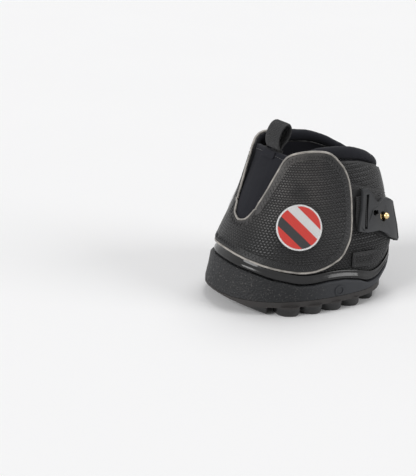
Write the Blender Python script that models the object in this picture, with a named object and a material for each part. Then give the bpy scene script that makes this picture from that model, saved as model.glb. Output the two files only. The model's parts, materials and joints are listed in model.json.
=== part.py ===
"""Horse hoof boot: a treaded rubber sole cup that carries a padded, flap-closed upper.

Metres, +Z up, toe towards -Y, heel towards +Y, the horse's left side towards +X.
The origin lies on the ground, under the middle of the boot's outline.

Every piece of the upper is a flat pattern. Its corners are given by a girth share, nought at
the middle of the toe and one at the middle of the heel, and by a height. The pattern is cut
along the facets of a last, which is the form that the boot is built on, and is then wrapped
round that last at a named distance outside or inside it.
"""

import math

import bmesh
import bpy
from mathutils import Matrix, Vector

# The last, whose surface is the outer face of the quarters
LAST_HALF_WIDTH = 0.061
LAST_TOE_REACH = 0.0875
LAST_HEEL_REACH = 0.0725
UPPER_HEIGHT = 0.129
FRONT_FULLNESS_SHARE = 2.3
REAR_FULLNESS_SHARES = ((0.0, 2.6), (0.2, 3.1), (0.6, 2.95), (1.0, 2.6))
WIDEST_Y = (LAST_TOE_REACH - LAST_HEEL_REACH) / 2

# Height above the deck, half width, toe reach and heel reach, as shares of the sizes above
LAST_SHARES = (
    (0.0, 0.984, 1.0, 0.770),
    (0.116, 0.992, 0.946, 0.883),
    (0.248, 1.0, 0.898, 1.0),
    (0.364, 0.943, 0.817, 1.0),
    (0.481, 0.852, 0.729, 0.979),
    (0.612, 0.779, 0.646, 0.945),
    (0.752, 0.721, 0.571, 0.875),
    (0.868, 0.680, 0.514, 0.802),
    (1.0, 0.656, 0.457, 0.720),
)
GIRTH_CELLS = 40
HEIGHT_CELLS = 11
RING_INNER_STEPS = 4

# Clearances
FIT_GAP = 0.0004
HINGE_GAP = 0.0008
AXIS_LIFT = 0.0008

# Tread: plate, lugs and toe bar
LUG_HEIGHT = 0.008
PLATE_THICKNESS = 0.005
DECK = LUG_HEIGHT + PLATE_THICKNESS
EMBED = 0.001
LUG_LENGTH = 0.0285
LUG_WIDTH = 0.0155
SIDE_LUG_WIDTH = 0.0182
LUG_BEND = 0.0050
LUG_EDGE = 0.0022
LUG_SIDES = 14
LUG_FULLNESS_SHARE = 2.5

# Lug places across and along, as shares of the tread's half width and of its half length,
# with 1 for a wide side lug and with the side to which the lug's ends turn
LUG_PLACE_SHARES = (
    (0.0, 0.804, 0, -1), (0.455, 0.806, 0, -1),
    (0.232, 0.567, 0, 1), (0.682, 0.580, 0, 1),
    (0.0, 0.366, 0, 1),
    (0.790, 0.318, 1, 1), (0.805, 0.072, 1, 1),
    (0.792, -0.178, 1, 1), (0.735, -0.430, 1, 1),
)
TOE_BAR_SHARES = ((0.728, -0.668), (0.52, -0.600), (0.26, -0.614), (0.0, -0.612))
TOE_BAR_INSET = 0.0004
TOE_BAR_GIRTH_SHARE = 0.235
TOE_BAR_STEPS = 9
ROCKER_START = 0.0185
ROCKER_RISE = 0.0115
ROCKER_RADIUS = 0.116
ROCKER_SIDES = 72

# Frog field: the ridges and small wedges in the middle of the tread
RIDGE_WIDTH = 0.0022
RIDGE_HEIGHT = 0.0034
FIELD_HALF_WIDTH = 0.0385
FIELD_SHARES = (
    (0.86, 0.472), (0.66, 0.462), (0.49, 0.385), (0.40, 0.270), (0.25, 0.205), (0.0, 0.190),
    (-0.25, 0.205), (-0.40, 0.270), (-0.49, 0.385), (-0.66, 0.462), (-0.86, 0.472),
    (-0.985, 0.230), (-0.99, -0.045), (-0.90, -0.210), (-0.72, -0.375), (-0.44, -0.505),
    (-0.17, -0.568), (0.0, -0.580), (0.17, -0.568), (0.44, -0.505), (0.72, -0.375),
    (0.90, -0.210), (0.99, -0.045), (0.985, 0.230),
)
HEART_SHARES = (
    (0.0, 0.168), (0.31, 0.045), (0.48, -0.045), (0.515, -0.126), (0.44, -0.215),
    (0.27, -0.275), (0.10, -0.268), (0.0, -0.225), (-0.10, -0.268), (-0.27, -0.275),
    (-0.44, -0.215), (-0.515, -0.126), (-0.48, -0.045), (-0.31, 0.045),
)
WEDGE_PITCH_X = 0.0074
WEDGE_PITCH_Y = 0.0128
WEDGE_WIDTH = 0.0052
WEDGE_LENGTH = 0.0098
WEDGE_HEIGHT = 0.0046
WEDGE_LOW = 0.0016
WEDGE_HEEL_WIDTH = 0.0034
WEDGE_OVERRUN = 0.0007
WEDGE_ROWS = 4
WEDGE_COLUMNS = 5

# Sole cup wall and the glossy rim that stands in it
WALL_THICKNESS = 0.0056
WALL_EDGE = 0.0014
WALL_TOP_SHARES = (
    (0.0, 0.196), (0.12, 0.186), (0.20, 0.162), (0.28, 0.130), (0.36, 0.100), (0.42, 0.096),
    (0.475, 0.122), (0.53, 0.084), (0.60, 0.042), (0.68, 0.044), (0.77, 0.098), (0.87, 0.146), (1.0, 0.158),
)
RIM_BEAD_THICKNESS = 0.0036
RIM_BEAD_HEIGHT = 0.0054
RIM_SKIRT_THICKNESS = 0.0014
RIM_BEAD_SHARES = ((0.0, 0.8), (0.3, 1.0), (0.7, 0.92), (1.0, 0.4))
RIM_HEIGHT = 0.0086
EMBLEM_RADIUS = 0.0047
EMBLEM_WIDTH = 0.0013
EMBLEM_HEIGHT = 0.0008
EMBLEM_GIRTH_SHARE = 0.482
EMBLEM_LEVEL = 0.0184

# Insole board and footbed
INSOLE_THICKNESS = 0.0012
FOOTBED_THICKNESS = 0.004
FOOTBED_CLEARANCE = 0.0016

# Upper layers
QUARTER_THICKNESS = 0.003
LINING_THICKNESS = 0.003
PATCH_THICKNESS = 0.0008
FLAP_THICKNESS = 0.0025
BAND_THICKNESS = 0.0012
TAB_THICKNESS = 0.001
BADGE_THICKNESS = 0.001
PIPING_RADIUS = 0.0011
TONGUE_THICKNESS = 0.0054
TONGUE_LEAN = 0.0075
TONGUE_LEAN_SHARES = ((0.55, 0.0), (0.93, 1.0))

UPPER_FLOOR = DECK + FIT_GAP + INSOLE_THICKNESS + FIT_GAP
LINING_OUT = -QUARTER_THICKNESS - FIT_GAP
LINING_IN = LINING_OUT - LINING_THICKNESS
LOOP_PATCH_IN = FIT_GAP
LOOP_PATCH_OUT = LOOP_PATCH_IN + PATCH_THICKNESS
HOOK_PATCH_IN = LOOP_PATCH_OUT + FIT_GAP
HOOK_PATCH_OUT = HOOK_PATCH_IN + PATCH_THICKNESS
FLAP_IN = HOOK_PATCH_OUT + FIT_GAP
FLAP_OUT = FLAP_IN + FLAP_THICKNESS
TONGUE_OUT = FLAP_IN - FIT_GAP
TONGUE_IN = TONGUE_OUT - TONGUE_THICKNESS
BAND_OUT = FIT_GAP + BAND_THICKNESS
WALL_IN = 1.5 * FIT_GAP
WALL_OUT = WALL_IN + WALL_THICKNESS

# Patterns: girth share and height share, the height from the deck to the top of the last
FLAP_HINGE_SHARE = 0.088
FLAP_EDGE_SHARES = (
    (0.088, 0.560), (0.112, 0.635), (0.139, 0.720), (0.168, 0.810), (0.194, 0.882),
    (0.232, 0.922), (0.310, 0.944), (0.400, 0.946), (0.460, 0.926), (0.502, 0.868),
    (0.522, 0.790), (0.527, 0.690), (0.524, 0.560), (0.516, 0.430), (0.500, 0.335),
    (0.474, 0.268), (0.430, 0.222), (0.372, 0.202), (0.304, 0.216), (0.222, 0.240),
    (0.150, 0.262), (0.088, 0.276),
)
VAMP_TOP_SHARES = (
    (-0.088, 0.560), (-0.062, 0.498), (-0.034, 0.468), (0.0, 0.456),
    (0.034, 0.468), (0.062, 0.498), (0.088, 0.560),
)
VAMP_BOTTOM_SHARES = ((0.088, 0.276), (0.045, 0.282), (0.0, 0.284), (-0.045, 0.282), (-0.088, 0.276))
TOE_SEAM_SHARE = 0.243
TOE_TOP_SHARE = 0.375
PUFF_SHARES = ((-0.2, 0.285), (0.0, 0.31), (0.2, 0.285), (0.2, 0.365), (-0.2, 0.365))
QUARTER_FRONT_SHARES = ((0.243, 0.385), (0.265, 0.60), (0.305, 0.80))
TONGUE_SHARES = (
    (0.137, 0.412), (0.168, 0.560), (0.202, 0.700), (0.236, 0.830), (0.250, 0.885),
    (0.226, 0.905), (0.130, 0.911), (0.0, 0.914),
)
LINING_FRONT_SHARES = ((0.215, 0.560), (0.258, 0.700), (0.315, 0.830))
PATCH_SHARES = ((0.34, 0.40), (0.49, 0.36), (0.50, 0.70), (0.44, 0.80), (0.36, 0.78))
SIDE_TAB_SHARES = ((0.520, 0.172), (0.598, 0.150), (0.604, 0.262), (0.520, 0.275))

# Collar: the rolled, padded top edge
COLLAR_TOP_SHARES = (
    (0.345, 0.950), (0.42, 0.966), (0.52, 0.962), (0.60, 0.942), (0.70, 0.904), (0.80, 0.854),
    (0.90, 0.812), (1.0, 0.796),
)
COLLAR_HEIGHT = 0.0115
COLLAR_WIDTH = 0.0092
COLLAR_STEPS = 15
COLLAR_SIDES = 10
COLLAR_END_SHARES = ((-0.020, 0.45), (-0.010, 0.82))

# Strap round the heel, its middle height and half height along the girth, as height shares
STRAP_THICKNESS = 0.0032
STRAP_HINGE_SHARE = 0.805
STRAP_END_SHARE = 0.550
STRAP_LINE_SHARES = ((0.55, 0.547), (0.68, 0.448), (0.86, 0.368), (1.0, 0.360))
STRAP_HALF_SHARES = (
    (0.550, 0.128), (0.57, 0.138), (0.622, 0.0965), (0.645, 0.0985),
    (0.70, 0.132), (0.78, 0.139), (0.86, 0.134), (1.0, 0.130),
)
STRAP_SLANT_SHARES = ((0.57, 0.0165), (0.645, 0.0))
STRAP_BASE = BAND_OUT + FIT_GAP
STRAP_END_LIFT = 0.0026
STRAP_CORNER_LIFT = 0.0010
STRAP_LIFT_SHARES = (
    (0.55, 1.0, 0.0), (0.605, 1.0, 0.0), (0.66, 0.0, 0.0), (0.705, 0.0, 0.0), (0.77, 0.0, 0.75),
    (0.84, 0.0, 1.0), (0.92, 0.0, 0.45), (1.0, 0.0, 0.0),
)
BAND_HALF_SHARE = 0.132
BAND_END_SHARE = 0.514
SLOT_SHARES = (0.566, 0.533)
SLOT_WIDTH = 0.0032
SLOT_HEIGHT = 0.0280
WEBBING_THICKNESS = 0.0012
WEBBING_GAP = 0.0006
WEBBING_HEIGHT = 0.0245
WEBBING_STEPS = 4
WEBBING_END_SHARES = ((0.44, 0.5345), (0.63, 0.5445))
SECOND_KEYHOLE_SHARES = (0.604, 0.497)
KEYHOLE_CLEARANCE = 0.0014
KEYHOLE_SHIFT = 0.0010
SMALL_KEYHOLE_RADIUS = 0.0026
KEYHOLE_SLIT = 0.0026
KEYHOLE_SLIT_WIDTH = 0.0034

# Ball stud and the screw that holds it
STUD_SHARES = (0.665, 0.4555)
STUD_BALL_RADIUS = 0.0031
STUD_NECK_RADIUS = 0.0016
STUD_BASE_RADIUS = 0.0030
STUD_BASE_THICKNESS = 0.0010
STUD_NECK_LENGTH = 0.0014
STUD_SIDES = 16
BALL_RINGS = 6
BALL_TURN_SHARE = 0.93
SCREW_RADIUS = 0.0016
SCREW_HEAD_RADIUS = 0.0055
SCREW_HEAD_THICKNESS = 0.001

# Badge on each flap
BADGE_RADIUS = 0.0179
BADGE_GIRTH_SHARE = 0.320
BADGE_HEIGHT_SHARE = 0.488
BADGE_SIDES = 28

# Pull loop at the top of the tongue
LOOP_WIDTH = 0.0212
LOOP_THICKNESS = 0.0016
LOOP_HEIGHT = 0.0205
LOOP_DEPTH = 0.0120
LOOP_KNUCKLE_RADIUS = 0.0017
LOOP_OUTLINE_SHARES = (
    (0.0, 0.0), (-0.13, 0.20), (-0.10, 0.46), (0.10, 0.75), (0.42, 0.96), (0.76, 0.98), (0.92, 0.80),
    (0.84, 0.54), (0.58, 0.30), (0.28, 0.12),
)
ANCHOR_LENGTH = 0.006

# Colours and finishes: base colour, roughness, metallic
FINISHES = {
    "tread_rubber": ((0.032, 0.026, 0.024), 0.45, 0.0),
    "cup_rubber": ((0.028, 0.029, 0.031), 0.62, 0.0),
    "gloss_rubber": ((0.012, 0.012, 0.013), 0.18, 0.0),
    "board": ((0.10, 0.085, 0.07), 0.85, 0.0),
    "foam": ((0.035, 0.035, 0.038), 0.9, 0.0),
    "neoprene": ((0.014, 0.014, 0.017), 0.8, 0.0),
    "leather": ((0.022, 0.022, 0.023), 0.45, 0.0),
    "elastic": ((0.016, 0.016, 0.018), 0.75, 0.0),
    "reflective": ((0.36, 0.35, 0.33), 0.5, 0.0),
    "hook_loop": ((0.02, 0.02, 0.022), 0.95, 0.0),
    "webbing": ((0.018, 0.018, 0.02), 0.8, 0.0),
    "strap_rubber": ((0.02, 0.02, 0.022), 0.55, 0.0),
    "brass": ((0.78, 0.57, 0.28), 0.22, 1.0),
    "steel": ((0.55, 0.55, 0.56), 0.35, 1.0),
    "badge": ((0.72, 0.05, 0.035), 0.7, 0.0),
}


def clear_scene():
    """Remove whatever the new file came with."""
    for thing in list(bpy.data.objects):
        bpy.data.objects.remove(thing, do_unlink=True)


def finish(name):
    """Return the material of that name, made on first use."""
    if name in bpy.data.materials:
        return bpy.data.materials[name]
    colour, roughness, metallic = FINISHES[name]
    material = bpy.data.materials.new(name)
    material.use_nodes = True
    shader = material.node_tree.nodes["Principled BSDF"]
    shader.inputs["Base Color"].default_value = (*colour, 1.0)
    shader.inputs["Roughness"].default_value = roughness
    shader.inputs["Metallic"].default_value = metallic
    return material


def add_object(name, bm, look, smooth=True):
    """Make an object from a bmesh whose faces are turned to point out."""
    bmesh.ops.recalc_face_normals(bm, faces=bm.faces)
    if bm.calc_volume(signed=True) < 0:
        bmesh.ops.reverse_faces(bm, faces=bm.faces)
    mesh = bpy.data.meshes.new(name)
    bm.to_mesh(mesh)
    bm.free()
    thing = bpy.data.objects.new(name, mesh)
    bpy.context.scene.collection.objects.link(thing)
    mesh.materials.append(finish(look))
    if smooth:
        mesh.shade_smooth()
        mesh.set_sharp_from_angle(angle=math.radians(40))
    return thing


def apply_boolean(thing, tool, operation):
    """Cut, join or intersect a body with a tool, and remove the tool."""
    tool.hide_render = True
    tool.display_type = "WIRE"
    modifier = thing.modifiers.new(operation, "BOOLEAN")
    modifier.operation = operation
    modifier.solver = "EXACT"
    modifier.use_self = operation == "UNION"
    modifier.object = tool
    bpy.context.view_layer.update()
    graph = bpy.context.evaluated_depsgraph_get()
    mesh = bpy.data.meshes.new_from_object(thing.evaluated_get(graph))
    thing.modifiers.clear()
    old = thing.data
    thing.data = mesh
    bpy.data.meshes.remove(old)
    bpy.data.objects.remove(tool, do_unlink=True)


def spline(points, steps):
    """Return a smooth run through the points, with that many steps from each to the next."""
    points = [Vector(point) for point in points]
    padded = [2 * points[0] - points[1], *points, 2 * points[-1] - points[-2]]
    run = []
    for a, b, c, d in zip(padded, padded[1:], padded[2:], padded[3:]):
        for step in range(steps):
            t = step / steps
            run.append(
                b + (c - a) * t / 2
                + (2 * a - 5 * b + 4 * c - d) * t * t / 2
                + (3 * b - a - 3 * c + d) * t ** 3 / 2
            )
    run.append(points[-1])
    return run


def along(table, where, column=1):
    """Read a table of shares at a place along its first column, eased between its rows."""
    if where <= table[0][0]:
        return table[0][column]
    for low, high in zip(table, table[1:]):
        if where <= high[0]:
            t = (where - low[0]) / (high[0] - low[0])
            t = t * t * (3 - 2 * t)
            return low[column] + (high[column] - low[column]) * t
    return table[-1][column]


def half_girth(share):
    """Fold a girth share onto one side: nought at the toe, one at the heel."""
    share = abs(share) % 2
    return 2 - share if share > 1 else share


def level(share):
    """Return the height above the ground of a height share."""
    return DECK + share * UPPER_HEIGHT


def last_row(share):
    """Return the last's half width, toe reach and heel reach at a height share."""
    rows = LAST_SHARES
    share = min(max(share, rows[0][0]), rows[-1][0])
    index = max(i for i, row in enumerate(rows[:-1]) if row[0] <= share)
    before = rows[max(index - 1, 0)]
    low, high = rows[index], rows[index + 1]
    after = rows[min(index + 2, len(rows) - 1)]
    t = (share - low[0]) / (high[0] - low[0])
    values = []
    for column in (1, 2, 3):
        slope_low = (high[column] - before[column]) / (high[0] - before[0])
        slope_high = (after[column] - low[column]) / (after[0] - low[0])
        span = high[0] - low[0]
        values.append(
            low[column] * (2 * t ** 3 - 3 * t * t + 1) + slope_low * span * (t ** 3 - 2 * t * t + t)
            + high[column] * (3 * t * t - 2 * t ** 3) + slope_high * span * (t ** 3 - t * t)
        )
    return values[0] * LAST_HALF_WIDTH, values[1] * LAST_TOE_REACH, values[2] * LAST_HEEL_REACH


def last_corner(girth_index, height_index, offset):
    """Return a corner of the last's facets, moved outwards by the offset in plan."""
    angle = 2 * math.pi * girth_index / GIRTH_CELLS
    share = height_index / HEIGHT_CELLS
    width, toe, heel = last_row(share)
    front = math.cos(angle) > 0
    reach = toe if front else heel
    fullness = FRONT_FULLNESS_SHARE if front else along(REAR_FULLNESS_SHARES, share)
    across = abs(math.sin(angle)) ** (2 / fullness)
    ahead = abs(math.cos(angle)) ** (2 / fullness)
    side = 1 if math.sin(angle) >= 0 else -1
    way = -1 if front else 1
    normal = Vector((side * across ** (fullness - 1) / width, way * ahead ** (fullness - 1) / reach, 0))
    normal.normalize()
    place = Vector((side * across * width, WIDEST_Y + way * ahead * reach, level(share)))
    return place + normal * offset


def on_last(girth, height, offset):
    """Return the point of the faceted last at a girth share, height and offset."""
    u = (girth % 2) * GIRTH_CELLS / 2
    v = (height - DECK) / UPPER_HEIGHT * HEIGHT_CELLS
    i = math.floor(u + 1e-7)
    j = min(max(math.floor(v + 1e-7), 0), HEIGHT_CELLS - 1)
    s, t = u - i, v - j
    low = last_corner(i, j, offset).lerp(last_corner(i + 1, j, offset), s)
    high = last_corner(i, j + 1, offset).lerp(last_corner(i + 1, j + 1, offset), s)
    return low.lerp(high, t)


def frame_at(girth, height, offset):
    """Return a frame on the last: local X along the girth, Y up the surface, Z out of it."""
    span = LAST_HALF_WIDTH / GIRTH_CELLS
    here = on_last(girth, height, offset)
    share_step = span / (math.pi * LAST_HALF_WIDTH)
    girth_way = on_last(girth + share_step, height, offset) - on_last(girth - share_step, height, offset)
    up_way = on_last(girth, height + span, offset) - on_last(girth, height - span, offset)
    out = girth_way.cross(up_way).normalized()
    x_way = girth_way.normalized()
    y_way = out.cross(x_way)
    frame = Matrix((x_way, y_way, out)).transposed().to_4x4()
    frame.translation = here
    return frame


def upright_frame(girth, height):
    """Return a frame on the last: local X along the girth, Y straight up, Z straight out."""
    frame = frame_at(girth, height, 0)
    up_way = Vector((0, 0, 1))
    x_way = up_way.cross(frame.to_3x3().col[2]).normalized()
    upright = Matrix((x_way, up_way, x_way.cross(up_way))).transposed().to_4x4()
    upright.translation = frame.translation
    return upright


def girth_length(girth, height):
    """Return how long one whole girth share is at that place."""
    step = 1 / GIRTH_CELLS
    return (on_last(girth + step, height, 0) - on_last(girth - step, height, 0)).length / (2 * step)


def refine(points):
    """Add points where an outline crosses the edges of the last's facets."""
    run = []
    for a, b in zip(points, points[1:]):
        cuts = {0.0}
        for axis, cells in ((0, GIRTH_CELLS / 2), (1, HEIGHT_CELLS / UPPER_HEIGHT)):
            low = (a[axis] - axis * DECK) * cells
            high = (b[axis] - axis * DECK) * cells
            if abs(high - low) > 1e-9:
                for line in range(math.ceil(min(low, high)), math.floor(max(low, high)) + 1):
                    t = (line - low) / (high - low)
                    if 0.04 < t < 0.96:
                        cuts.add(t)
        run += [a.lerp(b, t) for t in sorted(cuts)]
    return run + [points[-1]]


def pattern(shares, side=1):
    """Turn girth and height shares into pattern points on one side of the boot."""
    return [Vector((side * girth, level(height), 0)) for girth, height in shares]


def panel(name, outline, inner, outer, look):
    """Cut a flat pattern along the last's facets, give it its thickness and wrap it round the last."""
    bm = bmesh.new()
    bm.faces.new([bm.verts.new((point[0], point[1], 0)) for point in outline])
    girths = [vert.co.x for vert in bm.verts]
    heights = [vert.co.y for vert in bm.verts]
    planes = []
    for cell in range(-GIRTH_CELLS, GIRTH_CELLS + 1):
        place = cell * 2 / GIRTH_CELLS
        if min(girths) < place < max(girths):
            planes.append(((place, 0, 0), (1, 0, 0)))
    for cell in range(HEIGHT_CELLS + 1):
        place = DECK + cell * UPPER_HEIGHT / HEIGHT_CELLS
        if min(heights) < place < max(heights):
            planes.append(((0, place, 0), (0, 1, 0)))
    for place, normal in planes:
        parts = bm.verts[:] + bm.edges[:] + bm.faces[:]
        bmesh.ops.bisect_plane(bm, geom=parts, dist=1e-6, plane_co=place, plane_no=normal)
    fronts = bmesh.ops.extrude_face_region(bm, geom=bm.faces[:], use_keep_orig=True)
    moved = {part for part in fronts["geom"] if isinstance(part, bmesh.types.BMVert)}
    for vert in bm.verts:
        girth, height = vert.co.x, vert.co.y
        offset = outer if vert in moved else inner
        if callable(offset):
            offset = offset(girth, height)
        vert.co = on_last(girth, height, offset)
    return add_object(name, bm, look)


def ring(name, profile, look):
    """Loft a closed profile, a function from girth share to (height, offset) corners, round the last."""
    bm = bmesh.new()
    loops = []
    for index in range(GIRTH_CELLS):
        girth = index * 2 / GIRTH_CELLS
        corners = profile(girth)
        top, bottom = corners[-1], corners[0]
        for step in range(1, RING_INNER_STEPS):
            t = step / RING_INNER_STEPS
            corners.append((top[0] + (bottom[0] - top[0]) * t, top[1]))
        loops.append([bm.verts.new(on_last(girth, height, offset)) for height, offset in corners])
    for a, b in zip(loops, loops[1:] + loops[:1]):
        for i in range(len(a)):
            j = (i + 1) % len(a)
            bm.faces.new((a[i], a[j], b[j], b[i]))
    return add_object(name, bm, look)


def slab(name, offset, low, high, look):
    """Make a flat plate that fills the last out to an offset, between two heights."""
    bm = bmesh.new()
    loops = []
    for height in (low, high):
        girths = [index * 2 / GIRTH_CELLS for index in range(GIRTH_CELLS)]
        points = [on_last(girth, max(height, DECK), offset) for girth in girths]
        loops.append([bm.verts.new((point.x, point.y, height)) for point in points])
    bm.faces.new(loops[0])
    bm.faces.new(loops[1])
    for i in range(GIRTH_CELLS):
        j = (i + 1) % GIRTH_CELLS
        bm.faces.new((loops[0][i], loops[0][j], loops[1][j], loops[1][i]))
    return add_object(name, bm, look, smooth=False)


def add_prism(bm, outline, low, high, frame=None):
    """Add a closed prism of a plan outline to a bmesh, between two local heights."""
    frame = frame or Matrix.Identity(4)
    bottom = [bm.verts.new(frame @ Vector((x, y, low))) for x, y in outline]
    top = [bm.verts.new(frame @ Vector((x, y, high))) for x, y in outline]
    bm.faces.new(bottom)
    bm.faces.new(top)
    for i in range(len(outline)):
        j = (i + 1) % len(outline)
        bm.faces.new((bottom[i], bottom[j], top[j], top[i]))


def circle(radius, sides, centre=(0.0, 0.0)):
    """Return the corners of a regular outline."""
    turns = [2 * math.pi * side / sides for side in range(sides)]
    return [(centre[0] + radius * math.cos(a), centre[1] + radius * math.sin(a)) for a in turns]


def drill(thing, frame, radius, reach):
    """Cut a round hole through a piece, along a frame's Z."""
    bm = bmesh.new()
    add_prism(bm, circle(radius, STUD_SIDES), -reach, reach, frame)
    apply_boolean(thing, add_object("hole", bm, "steel"), "DIFFERENCE")


def tube(name, path, radius, look):
    """Run a round cord with filled ends along a path."""
    curve = bpy.data.curves.new(name, "CURVE")
    curve.dimensions = "3D"
    curve.bevel_depth = radius
    curve.bevel_resolution = 1
    curve.use_fill_caps = True
    run = curve.splines.new("POLY")
    run.points.add(len(path) - 1)
    for point, place in zip(run.points, path):
        point.co = (*place, 1.0)
    curve.materials.append(finish(look))
    thing = bpy.data.objects.new(name, curve)
    bpy.context.scene.collection.objects.link(thing)
    return thing


def edge_path(points, offset, side):
    """Return the line of a piping that lies just outside a run of pattern points."""
    places = [on_last(point[0], point[1], offset) for point in points]
    path = []
    for i, place in enumerate(places):
        if path and i < len(places) - 1 and (place - places[i - 1]).length < 2 * PIPING_RADIUS:
            continue
        ahead = places[min(i + 1, len(places) - 1)] - places[max(i - 1, 0)]
        frame = frame_at(points[i][0], points[i][1], offset)
        out = frame.to_3x3().col[2].cross(ahead).normalized() * side
        path.append(place + out * (PIPING_RADIUS + FIT_GAP))
    return path


def tread_y(share):
    """Return a place along the tread from a share of its half length, from its middle."""
    half = (LAST_TOE_REACH + LAST_HEEL_REACH * LAST_SHARES[0][3]) / 2 + WALL_OUT
    middle = WIDEST_Y + (LAST_HEEL_REACH * LAST_SHARES[0][3] - LAST_TOE_REACH) / 2
    return middle + share * half


def tread_x(share):
    """Return a place across the tread from a share of its half width."""
    return share * (LAST_HALF_WIDTH * LAST_SHARES[0][1] + WALL_OUT)


def lug_outline(length, width, turn, shrink):
    """Return a bean-shaped lug outline, its ends turned to one side."""
    points = []
    for side in range(LUG_SIDES):
        angle = 2 * math.pi * side / LUG_SIDES
        c, s = math.cos(angle), math.sin(angle)
        x = math.copysign(abs(c) ** (2 / LUG_FULLNESS_SHARE), c)
        y = math.copysign(abs(s) ** (2 / LUG_FULLNESS_SHARE), s)
        points.append((
            x * (length / 2 - shrink),
            y * (width / 2 - shrink) + turn * LUG_BEND * (x * x - 1 / 2),
        ))
    return points


def add_lug(bm, centre, length, width, turn):
    """Add one lug, rounded off towards the ground, to a bmesh."""
    rings = []
    for height, shrink in ((LUG_HEIGHT + EMBED, 0), (LUG_EDGE, LUG_EDGE / 3), (0, LUG_EDGE)):
        outline = lug_outline(length, width, turn, shrink)
        rings.append([bm.verts.new((centre[0] + x, centre[1] + y, height)) for x, y in outline])
    bm.faces.new(rings[0])
    bm.faces.new(rings[-1])
    for a, b in zip(rings, rings[1:]):
        for i in range(LUG_SIDES):
            j = (i + 1) % LUG_SIDES
            bm.faces.new((a[i], a[j], b[j], b[i]))


def plan_points(shares):
    """Turn frog field shares into plan points."""
    return [Vector((x * FIELD_HALF_WIDTH, tread_y(y))) for x, y in shares]


def add_ridge(bm, points):
    """Add a closed ridge that follows plan points to a bmesh."""
    loops = []
    for width in (RIDGE_WIDTH / 2, -RIDGE_WIDTH / 2):
        shifted = []
        for i, point in enumerate(points):
            ahead = (points[(i + 1) % len(points)] - point).normalized()
            behind = (point - points[i - 1]).normalized()
            way = (ahead + behind).normalized()
            stretch = 1 / max(way.dot(ahead), 0.6)
            shifted.append(point + Vector((way.y, -way.x)) * width * stretch)
        for height in (LUG_HEIGHT - RIDGE_HEIGHT, LUG_HEIGHT + EMBED):
            loops.append([bm.verts.new((p.x, p.y, height)) for p in shifted])
    low_a, high_a, low_b, high_b = loops
    for a, b in ((low_a, high_a), (high_a, high_b), (high_b, low_b), (low_b, low_a)):
        for i in range(len(points)):
            j = (i + 1) % len(points)
            bm.faces.new((a[i], a[j], b[j], b[i]))


def edge_distance(point, outline):
    """Return how far inside an outline a point lies, negative outside it."""
    inside, nearest = False, math.inf
    for a, b in zip(outline, outline[1:] + outline[:1]):
        if (a.y > point.y) != (b.y > point.y):
            if point.x < a.x + (b.x - a.x) * (point.y - a.y) / (b.y - a.y):
                inside = not inside
        t = max(0.0, min(1.0, (point - a).dot(b - a) / (b - a).length_squared))
        nearest = min(nearest, (a.lerp(b, t) - point).length)
    return nearest if inside else -nearest


def add_wedges(bm, field, heart):
    """Add the small wedges that fill the frog field around the heart."""
    for column in range(-WEDGE_COLUMNS, WEDGE_COLUMNS + 1):
        for row in range(-WEDGE_ROWS - 1, WEDGE_ROWS + 1):
            shift = WEDGE_PITCH_Y / 2 if column % 2 else 0
            x = column * WEDGE_PITCH_X
            y = tread_y(0) + row * WEDGE_PITCH_Y + shift
            middle = Vector((x, y))
            half = Vector((WEDGE_WIDTH / 2, WEDGE_LENGTH / 2))
            reach = [middle + Vector((a * half.x, b * half.y)) for a in (-1, 1) for b in (-1, 1)]
            if min(edge_distance(p, field) for p in reach) < -WEDGE_OVERRUN:
                continue
            if max(edge_distance(p, heart) for p in [*reach, middle]) > WEDGE_OVERRUN:
                continue
            toe, heel = y - half.y, y + half.y
            wide, slim = half.x, WEDGE_HEEL_WIDTH / 2
            base = LUG_HEIGHT + EMBED
            tip, tail = LUG_HEIGHT - WEDGE_HEIGHT, LUG_HEIGHT - WEDGE_LOW
            plan = ((x - wide, toe), (x + wide, toe), (x + slim, heel), (x - slim, heel))
            low = [bm.verts.new((*place, base)) for place in plan]
            top = [bm.verts.new((*place, height)) for place, height in zip(plan, (tip, tip, tail, tail))]
            bm.faces.new(low)
            bm.faces.new(top)
            for i in range(4):
                j = (i + 1) % 4
                bm.faces.new((low[i], low[j], top[j], top[i]))


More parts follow.
